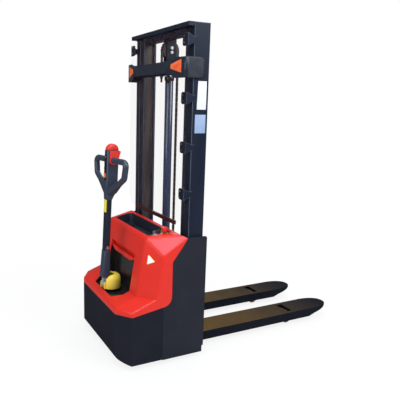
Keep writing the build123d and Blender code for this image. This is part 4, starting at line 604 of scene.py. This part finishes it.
for entry in frame["record"]["subparts"]:
    name = entry["node"]
    node = nodes[name]
    node.data.materials.clear()
    node.data.materials.append(finishes[NODE_FINISH.get(name, entry["material_slot"])])
    edges = softened(node, EDGE_ROUND.get(name, EDGE_DEFAULT))
    # Bevel strips on these pieces get the lighter edge colour, a painted highlight partly from rubbed paint
    if name in HIGHLIT_WORN_EDGES:
        node.data.materials.append(finishes["edge_highlight_and_wear"])
        edges.material = 1
        edges.use_clamp_overlap = False

# Small pieces, placed in millimetres from the operator's end, the middle and the floor
MIDDLE = 855
MILLIMETRE = 0.001
STEER_X = 112
STEER_ANGLE = math.radians(7)
PIVOT = Vector((40, 0, 415))
TILLER_LEAN = math.radians(2.6)
TO_ROW = Matrix.Scale(MILLIMETRE, 4) @ Matrix.Translation((-MIDDLE, 0, 0))
TO_STEER = Matrix.Translation((STEER_X, 0, 0))
FROM_STEER = Matrix.Translation((-STEER_X, 0, 0))
STEERED = TO_STEER @ Matrix.Rotation(STEER_ANGLE, 4, "Z") @ FROM_STEER
LEANED = Matrix.Translation(PIVOT) @ Matrix.Rotation(TILLER_LEAN, 4, "Y") @ Matrix.Translation(-PIVOT)
ON_TILLER = STEERED @ LEANED
UPRIGHT = Matrix.Identity(4)
SMOOTH_ANGLE = 35
CORNER_STEPS = 5
RIM_STEPS = 2
RIM_PROFILE = 0.5


def finished(name, shape, finish, body, stand=UPRIGHT, smooth=SMOOTH_ANGLE):
    """Turns a shape in millimetres into a piece that rides on a body."""
    bmesh.ops.transform(shape, matrix=TO_ROW @ stand, verts=shape.verts)
    bmesh.ops.recalc_face_normals(shape, faces=shape.faces)
    mesh = bpy.data.meshes.new(name)
    shape.to_mesh(mesh)
    shape.free()
    mesh.materials.append(finishes[finish])
    mesh.shade_smooth()
    mesh.set_sharp_from_angle(angle=math.radians(smooth))
    made = bpy.data.objects.new(name, mesh)
    bpy.context.scene.collection.objects.link(made)
    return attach(made, body) if body else made


def slab(shape, outline, origin, across, up, thick, edge):
    """Adds a thin plate with a rounded rim; the outline lies on the plane spanned by across and up."""
    origin, across, up = Vector(origin), Vector(across).normalized(), Vector(up).normalized()
    out = across.cross(up).normalized()
    low = [shape.verts.new(origin + across * u + up * v) for u, v in outline]
    face = shape.faces.new(low)
    raised = bmesh.ops.extrude_face_region(shape, geom=[face])["geom"]
    moved = [item for item in raised if isinstance(item, bmesh.types.BMVert)]
    bmesh.ops.translate(shape, verts=moved, vec=out * thick)
    rim = [item for item in raised if isinstance(item, bmesh.types.BMEdge)]
    bmesh.ops.bevel(shape, geom=rim, offset=edge, segments=RIM_STEPS, affect="EDGES", profile=RIM_PROFILE)


def rounded_outline(points, radius):
    """Polygon with its corners rounded off."""
    turned = []
    count = len(points)
    for i, point in enumerate(points):
        here = Vector(point)
        back = (Vector(points[i - 1]) - here).normalized()
        ahead = (Vector(points[(i + 1) % count]) - here).normalized()
        half = back.angle(ahead) / 2
        reach = radius / math.tan(half)
        centre = here + (back + ahead).normalized() * radius / math.sin(half)
        first = here + back * reach - centre
        last = here + ahead * reach - centre
        for step in range(CORNER_STEPS + 1):
            share = step / CORNER_STEPS
            turned.append(centre + (first * (1 - share) + last * share).normalized() * radius)
    return [tuple(point) for point in turned]


def oblong(half, low, high):
    """Corners of an upright oblong about the middle."""
    return ((-half, low), (half, low), (half, high), (-half, high))


def spokes(axis, segments):
    """Directions that point away from an axis, all the way round it."""
    side = axis.orthogonal().normalized()
    other = axis.cross(side)
    turns = [2 * math.pi * step / segments for step in range(segments)]
    return [side * math.cos(turn) + other * math.sin(turn) for turn in turns]


def lathe(shape, profile, origin, axis, segments=24):
    """Adds a turned form: radius and height pairs about an axis."""
    axis = Vector(axis).normalized()
    origin = Vector(origin)
    around = spokes(axis, segments)
    rings = []
    for radius, height in profile:
        rings.append([shape.verts.new(origin + axis * height + spoke * radius) for spoke in around])
    for low, high in zip(rings, rings[1:]):
        for step in range(segments):
            after = (step + 1) % segments
            shape.faces.new((low[step], low[after], high[after], high[step]))
    shape.faces.new(list(reversed(rings[0])))
    shape.faces.new(rings[-1])


# Hexagon bolts, sized by the width across the flats of their heads
BOLT_WASHER = 0.95
BOLT_HEAD = 0.55
BOLT_THREAD = 0.3
WASHER_THICK = 1.8
WASHER_SOFT = 0.6
HEAD_SOFT = 1.0
THREAD_TAPER = 1.0
THREAD_SOFT = 0.8
HEAD_CORNERS = 6


def hex_bolt(shape, origin, axis, across_flats, thread_end):
    """Adds a washer, a six-sided head with rounded top corners and the end of its thread."""
    washer = across_flats * BOLT_WASHER
    washer_side = [(washer, 0), (washer, WASHER_THICK - WASHER_SOFT), (washer - WASHER_SOFT, WASHER_THICK)]
    lathe(shape, washer_side, origin, axis)
    corner = across_flats / math.sqrt(3)
    high = across_flats * BOLT_HEAD
    head_side = [(corner, WASHER_THICK), (corner, high - HEAD_SOFT), (across_flats / 2, high)]
    lathe(shape, head_side, origin, axis, HEAD_CORNERS)
    thread = across_flats * BOLT_THREAD
    end = high + thread_end
    lathe(shape, [(thread, high), (thread, end - THREAD_TAPER), (thread - THREAD_SOFT, end)], origin, axis)


# Leaf chain
PULLEY_X = 472
PULLEY_Z = 1852
PULLEY_PITCH = 55
CHAIN_HALF = 9
CHAIN_DEPTH = 12
ANCHOR_TOP = 1745
CHAIN_LUG_TOP = 310
LINK_PITCH = 15.9
LINK_WAIST = 0.72
LINK_END = 60
LINK_STEP = 30
PLATE_THICK = 1.7
PLATES_ACROSS = 9
PIN_RADIUS = 2.6
PIN_REACH = CHAIN_HALF + 0.4
PIN_SOFT = 0.9
PIN_TAPER = 0.5
PIN_SEGMENTS = 10


def link_plate(shape, first, second, y):
    """Adds one waisted plate between two pins."""
    ahead = (second - first) / (second - first).length
    aside = Vector((-ahead.z, 0, ahead.x))
    radius = CHAIN_DEPTH / 2
    waist = aside * radius * LINK_WAIST
    outline = []
    for pin, facing, side in ((second, 0, waist), (first, 180, -waist)):
        for turn in range(facing - LINK_END, facing + LINK_END + 1, LINK_STEP):
            spoke = math.radians(turn)
            outline.append(pin + (ahead * math.cos(spoke) + aside * math.sin(spoke)) * radius)
        outline.append((first + second) / 2 + side)
    sides = []
    for edge in (y - PLATE_THICK / 2, y + PLATE_THICK / 2):
        sides.append([shape.verts.new((point.x, edge, point.z)) for point in outline])
    count = len(outline)
    for step in range(count):
        after = (step + 1) % count
        shape.faces.new((sides[0][step], sides[0][after], sides[1][after], sides[1][step]))
    shape.faces.new(sides[0])
    shape.faces.new(sides[1])


def leaf_chain(pins):
    """Interleaved plates on a row of pins, with riveted pin ends."""
    shape = bmesh.new()
    spread = 2 * (CHAIN_HALF - PLATE_THICK / 2) / (PLATES_ACROSS - 1)
    for step, (first, second) in enumerate(zip(pins, pins[1:])):
        for plate in range(step % 2, PLATES_ACROSS, 2):
            link_plate(shape, first, second, -CHAIN_HALF + PLATE_THICK / 2 + plate * spread)
    narrow = PIN_RADIUS - PIN_SOFT
    full = PIN_REACH - PIN_TAPER
    pin_side = [(narrow, -PIN_REACH), (PIN_RADIUS, -full), (PIN_RADIUS, full), (narrow, PIN_REACH)]
    for pin in pins:
        lathe(shape, pin_side, pin, LEFTWARD, PIN_SEGMENTS)
    return shape


def straight_pins(x, low, high):
    count = round((high - low) / LINK_PITCH)
    return [Vector((x, 0, low + (high - low) * step / count)) for step in range(count + 1)]


def wrapped_pins():
    count = round(math.pi * PULLEY_PITCH / LINK_PITCH)
    turns = [math.pi * step / count for step in range(count + 1)]
    centre = (PULLEY_X, PULLEY_Z)
    reaches = [(PULLEY_PITCH * math.cos(turn), PULLEY_PITCH * math.sin(turn)) for turn in turns]
    return [Vector((centre[0] + ahead, 0, centre[1] + rise)) for ahead, rise in reaches]


wrap = finished("chain_over_pulley", leaf_chain(wrapped_pins()), "chain_steel", "inner_mast")
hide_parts("chain_wrap")
front_x = PULLEY_X - PULLEY_PITCH
front_links = leaf_chain(straight_pins(front_x, ANCHOR_TOP, PULLEY_Z))
front_chain = finished("chain_to_anchor", front_links, "chain_steel", None)
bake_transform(front_chain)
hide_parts("chain_front_run")
rear_x = PULLEY_X + PULLEY_PITCH
rear_links = leaf_chain(straight_pins(rear_x, CHAIN_LUG_TOP, PULLEY_Z))
rear_chain = finished("chain_to_carriage", rear_links, "chain_steel", "inner_mast")
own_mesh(rear_chain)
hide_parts("chain_rear_run")

# Reflectors on the mast cover and the hood
COVER_END = Vector((361, 393, 0))
COVER_BEND = Vector((336, 236, 0))
REFLECTOR_OUTLINE = ((26, 1723), (26, 1747), (122, 1771), (122, 1698))
REFLECTOR_ROUND = 4
REFLECTOR_THICK = 1.6
REFLECTOR_EDGE = 0.6
TRIANGLE_CORNERS = ((196, 313.4, 674.8), (186, 313.9, 611), (221.5, 354.5, 636))
TRIANGLE_INNER = 0.84
TRIANGLE_ROUND = 3
TRIANGLE_THICK = 1.6
TRIANGLE_EDGE = 0.5
AMBER_ROUND = 4
AMBER_THICK = 1.0
AMBER_EDGE = 0.4
for side, hand in SIDES:
    reflector = bmesh.new()
    start = Vector((COVER_BEND.x, hand * COVER_BEND.y, 0))
    run = Vector((COVER_END.x, hand * COVER_END.y, 0)) - start
    corners = rounded_outline([(-hand * u, z) for u, z in REFLECTOR_OUTLINE], REFLECTOR_ROUND)
    slab(reflector, corners, start, run * -hand, UPWARD, REFLECTOR_THICK, REFLECTOR_EDGE)
    finished(f"cover_reflector_{side}", reflector, "reflector_orange", "chassis")
    points = [Vector((x, hand * y, z)) for x, y, z in TRIANGLE_CORNERS]
    middle = sum(points, Vector()) / 3
    up = (points[0] - (points[1] + points[2]) / 2).normalized()
    out = (points[1] - points[0]).cross(points[2] - points[0]).normalized()
    if out.x > 0:
        out = -out
    across = up.cross(out).normalized()
    whole = [((point - middle).dot(across), (point - middle).dot(up)) for point in points]
    inner = rounded_outline([(u * TRIANGLE_INNER, v * TRIANGLE_INNER) for u, v in whole], TRIANGLE_ROUND)
    triangle = bmesh.new()
    slab(triangle, inner, middle, across, up, TRIANGLE_THICK, TRIANGLE_EDGE)
    finished(f"hood_reflector_{side}", triangle, "reflector_white", "chassis")
    amber = bmesh.new()
    slab(amber, rounded_outline(whole, AMBER_ROUND), middle, across, up, AMBER_THICK, AMBER_EDGE)
    finished(f"hood_reflector_rim_{side}", amber, "rim_amber", "chassis")

# Blank plates on the mast and the tiller
CHANNEL_HALF = 380
MAST_PLATES = {
    "white_plate": ("plate_white", ((447, 1501), (507, 1501), (507, 1656), (452, 1656))),
    "blue_plate": ("plate_blue", ((438, 1370), (507, 1370), (507, 1473), (438, 1473))),
}
MAST_PLATE_ROUND = 3
BLANK_THICK = 0.8
BLANK_EDGE = 0.3
TUBE_HALF_DEPTH = 17
TUBE_HALF_WIDTH = 24
TILLER_PLATE = oblong(15, 872, 950)
TILLER_PLATE_ROUND = 2
for name, (finish, outline) in MAST_PLATES.items():
    plate = bmesh.new()
    corners = rounded_outline(outline, MAST_PLATE_ROUND)
    slab(plate, corners, (0, -CHANNEL_HALF, 0), LENGTHWISE, UPWARD, BLANK_THICK, BLANK_EDGE)
    finished(name, plate, finish, "chassis")
plate = bmesh.new()
corners = rounded_outline(TILLER_PLATE, TILLER_PLATE_ROUND)
slab(plate, corners, (PIVOT.x - TUBE_HALF_DEPTH, 0, 0), RIGHTWARD, UPWARD, BLANK_THICK, BLANK_EDGE)
finished("tiller_plate", plate, "plate_yellow", "tiller", ON_TILLER)

# Bolts through the tiller's sleeve
TILLER_BOLT_Z = 647
TILLER_BOLT_FLATS = 14
TILLER_BOLT_END = 3.0
for side, hand in reversed(SIDES):
    bolt = bmesh.new()
    seat = (PIVOT.x, hand * TUBE_HALF_WIDTH, TILLER_BOLT_Z)
    hex_bolt(bolt, seat, (0, hand, 0), TILLER_BOLT_FLATS, TILLER_BOLT_END)
    finished(f"tiller_bolt_{side}", bolt, "screw_steel", "tiller", ON_TILLER)

# Controls on the hood's deck
TOP_REAR_X = 378
TOP_REAR_Z = 786
TOP_SLOPE = 0.111
DECK_DROP = 10
DECK_UP = Vector((-TOP_SLOPE, 0, 1)).normalized()
STOP_PLACE = (328, -259)
STOP_COLLAR = {"inside": 13, "outside": 27, "high": 1.6, "soft": 0.5}
KEY_PLACE = (268, -244)
KEY_BEZEL = {"inside": 6.5, "outside": 14.5, "high": 4.2, "soft": 1.0}
METER_PLACE = (322, -212)
METER_LENS = ((18.6, 1.6), (18.6, 2.4), (17.6, 2.9), (9, 3.3), (1, 3.4))
RING_SEGMENTS = 32


def on_deck(x, y):
    on_top = Vector((x, y, TOP_REAR_Z - TOP_SLOPE * (TOP_REAR_X - x)))
    return on_top - DECK_UP * DECK_DROP


def ring(shape, origin, axis, inside, outside, high, soft):
    """Adds a flat ring with softened upper rims."""
    upright = [(inside, 0), (outside, 0), (outside, high - soft)]
    rounded = [(outside - soft, high), (inside + soft, high), (inside, high - soft)]
    profile = upright + rounded
    loops = []
    for spoke in spokes(axis, RING_SEGMENTS):
        loops.append([shape.verts.new(origin + spoke * radius + axis * height) for radius, height in profile])
    count = len(profile)
    for step in range(RING_SEGMENTS):
        here, after = loops[step], loops[(step + 1) % RING_SEGMENTS]
        for i in range(count):
            j = (i + 1) % count
            shape.faces.new((here[i], here[j], after[j], after[i]))


collar = bmesh.new()
ring(collar, on_deck(*STOP_PLACE), DECK_UP, **STOP_COLLAR)
finished("stop_collar", collar, "ring_yellow", "chassis")
bezel = bmesh.new()
ring(bezel, on_deck(*KEY_PLACE), DECK_UP, **KEY_BEZEL)
finished("key_bezel", bezel, "screw_steel", "chassis")
glass = bmesh.new()
lathe(glass, METER_LENS, on_deck(*METER_PLACE), DECK_UP, RING_SEGMENTS)
finished("meter_lens", glass, "meter_glass", "chassis")

# Dark strip behind the buttons on the tiller's head
HEAD_FACE = 13
STRIP_OUTLINE = oblong(14, 1072, 1228)
STRIP_ROUND = 6
STRIP_THICK = 0.9
STRIP_EDGE = 0.3
strip = bmesh.new()
corners = rounded_outline(STRIP_OUTLINE, STRIP_ROUND)
slab(strip, corners, (HEAD_FACE, 0, 0), RIGHTWARD, UPWARD, STRIP_THICK, STRIP_EDGE)
finished("head_strip", strip, "control_black", "tiller", ON_TILLER)

# Weld beads on the mast, the inner mast and the fork carriage
BEAD_SIZE = 3.2
BEAD_END = 0.3
BEAD_SEGMENTS = 8
BEAD_SMOOTH = 60
RIPPLE_PITCH = 1.3
RIPPLES_LEAST = 3
RIPPLE = ((0.86, 0.2), (1, 0.55), (0.88, 0.95))
CHANNEL_FRONT = 420
CHANNEL_REAR = 520
CHANNEL_TIP = 326
TOP_BEAM_LOW = 1943
INNER_WEB_FACE = 295
INNER_BEAM_LOW = 1917
INNER_BEAM_RUN = (440, 500)
FORK_INNER = 111
LEG_SIDES = (133, 259)
CARRIAGE_REAR = 560
CARRIAGE_BARS = ((118, 188), (253, 323), (400, 470))
FOOT_BEAM = (28, 60)


def weld(shape, start, end):
    """Adds a bead of overlapping ripples along a joint."""
    start, end = Vector(start), Vector(end)
    run = (end - start).length
    ripples = max(RIPPLES_LEAST, round(run / (RIPPLE_PITCH * BEAD_SIZE)))
    profile = [(BEAD_SIZE * BEAD_END, 0)]
    for step in range(ripples):
        for swell, share in RIPPLE:
            profile.append((BEAD_SIZE * swell, run * (step + share) / ripples))
    profile.append((BEAD_SIZE * BEAD_END, run))
    lathe(shape, profile, start, end - start, BEAD_SEGMENTS)


mast_welds = bmesh.new()
lift_welds = bmesh.new()
fork_welds = bmesh.new()
for side, hand in SIDES:
    under_top = [(CHANNEL_FRONT, hand * y, TOP_BEAM_LOW) for y in (CHANNEL_TIP, CHANNEL_HALF)]
    weld(mast_welds, *under_top)
    for y in LEG_SIDES:
        weld(mast_welds, *[(CHANNEL_REAR, hand * y, z) for z in FOOT_BEAM])
    weld(mast_welds, *[(CHANNEL_REAR, hand * y, FOOT_BEAM[1]) for y in LEG_SIDES])
    weld(lift_welds, *[(x, hand * INNER_WEB_FACE, INNER_BEAM_LOW) for x in INNER_BEAM_RUN])
    for bar in CARRIAGE_BARS:
        weld(fork_welds, *[(CARRIAGE_REAR, hand * FORK_INNER, z) for z in bar])
finished("mast_welds", mast_welds, "weld_black", "chassis", smooth=BEAD_SMOOTH)
finished("inner_mast_welds", lift_welds, "weld_black", "inner_mast", smooth=BEAD_SMOOTH)
finished("fork_welds", fork_welds, "weld_black", "carriage", smooth=BEAD_SMOOTH)

# Dark bent sheets round the load rollers, put where there is only shade inside the legs' slots so the floor
# does not show through
ROLLER_X = 1348
ROLLER_Z = 40
SHADE_SHEET_RADIUS = 46
SHADE_SHEET_THICK = 3
SHADE_SHEET_TURN = (-35, 62)
SHADE_SHEET_STEPS = 12
SHADE_SHEET_HALF = 39.6
LEG_MID = 196
LEG_END = 1400


def bent_sheet(shape, path, thick, start, end):
    """Adds a sheet that follows a path in X and Z and reaches across from start to end."""
    places = [Vector((x, 0, z)) for x, z in path]
    sides = []
    for i, place in enumerate(places):
        ahead = (places[min(i + 1, len(places) - 1)] - places[max(i - 1, 0)]).normalized()
        under = place + Vector((ahead.z, 0, -ahead.x)) * -thick
        corners = [(place, start), (place, end), (under, end), (under, start)]
        sides.append([shape.verts.new((corner.x, y, corner.z)) for corner, y in corners])
    for here, after in zip(sides, sides[1:]):
        for i in range(4):
            j = (i + 1) % 4
            shape.faces.new((here[i], here[j], after[j], after[i]))
    shape.faces.new(sides[0])
    shape.faces.new(sides[-1])


shade_sheet_bend = []
for step in range(SHADE_SHEET_STEPS + 1):
    turn = math.radians(SHADE_SHEET_TURN[0] + (SHADE_SHEET_TURN[1] - SHADE_SHEET_TURN[0]) * step / SHADE_SHEET_STEPS)
    shade_sheet_bend.append((ROLLER_X + SHADE_SHEET_RADIUS * math.cos(turn), ROLLER_Z + SHADE_SHEET_RADIUS * math.sin(turn)))
bend_x, bend_z = shade_sheet_bend[-1]
shade_sheet_toe = [(bend_x - SHADE_SHEET_THICK, bend_z), (LEG_END, bend_z)]
# Each dark sheet stands in for the shade inside a leg's slot
for side, hand in SIDES:
    shade_sheet = bmesh.new()
    for path in (shade_sheet_bend, shade_sheet_toe):
        bent_sheet(shade_sheet, path, SHADE_SHEET_THICK, hand * LEG_MID - SHADE_SHEET_HALF, hand * LEG_MID + SHADE_SHEET_HALF)
    finished(f"roller_shade_sheet_{side}", shade_sheet, "frame_black", "chassis")

# Keeper plates that hold the pulley's axle
CHEEK_OUT = 21.9
KEEPER_OUTLINE = oblong(9, -24, 24)
KEEPER_ROUND = 5
KEEPER_THICK = 4
KEEPER_EDGE = 0.6
KEEPER_BOLTS = (-13, 13)
KEEPER_BOLT_FLATS = 10
KEEPER_BOLT_END = 1.5
for side, hand in SIDES:
    keeper = bmesh.new()
    corners = rounded_outline(KEEPER_OUTLINE, KEEPER_ROUND)
    cheek = (PULLEY_X, hand * CHEEK_OUT, PULLEY_Z)
    slab(keeper, corners, cheek, (-hand, 0, 0), UPWARD, KEEPER_THICK, KEEPER_EDGE)
    finished(f"axle_keeper_{side}", keeper, "screw_black", "inner_mast")
    bolts = bmesh.new()
    for rise in KEEPER_BOLTS:
        seat = (PULLEY_X, hand * (CHEEK_OUT + KEEPER_THICK), PULLEY_Z + rise)
        hex_bolt(bolts, seat, (0, hand, 0), KEEPER_BOLT_FLATS, KEEPER_BOLT_END)
    finished(f"keeper_bolts_{side}", bolts, "screw_steel", "inner_mast")

aimed_camera()
pale_world()
pale_floor()
for name, setting in LIGHTS.items():
    softbox(name, **setting)

bpy.context.scene.view_settings.view_transform = "Standard"
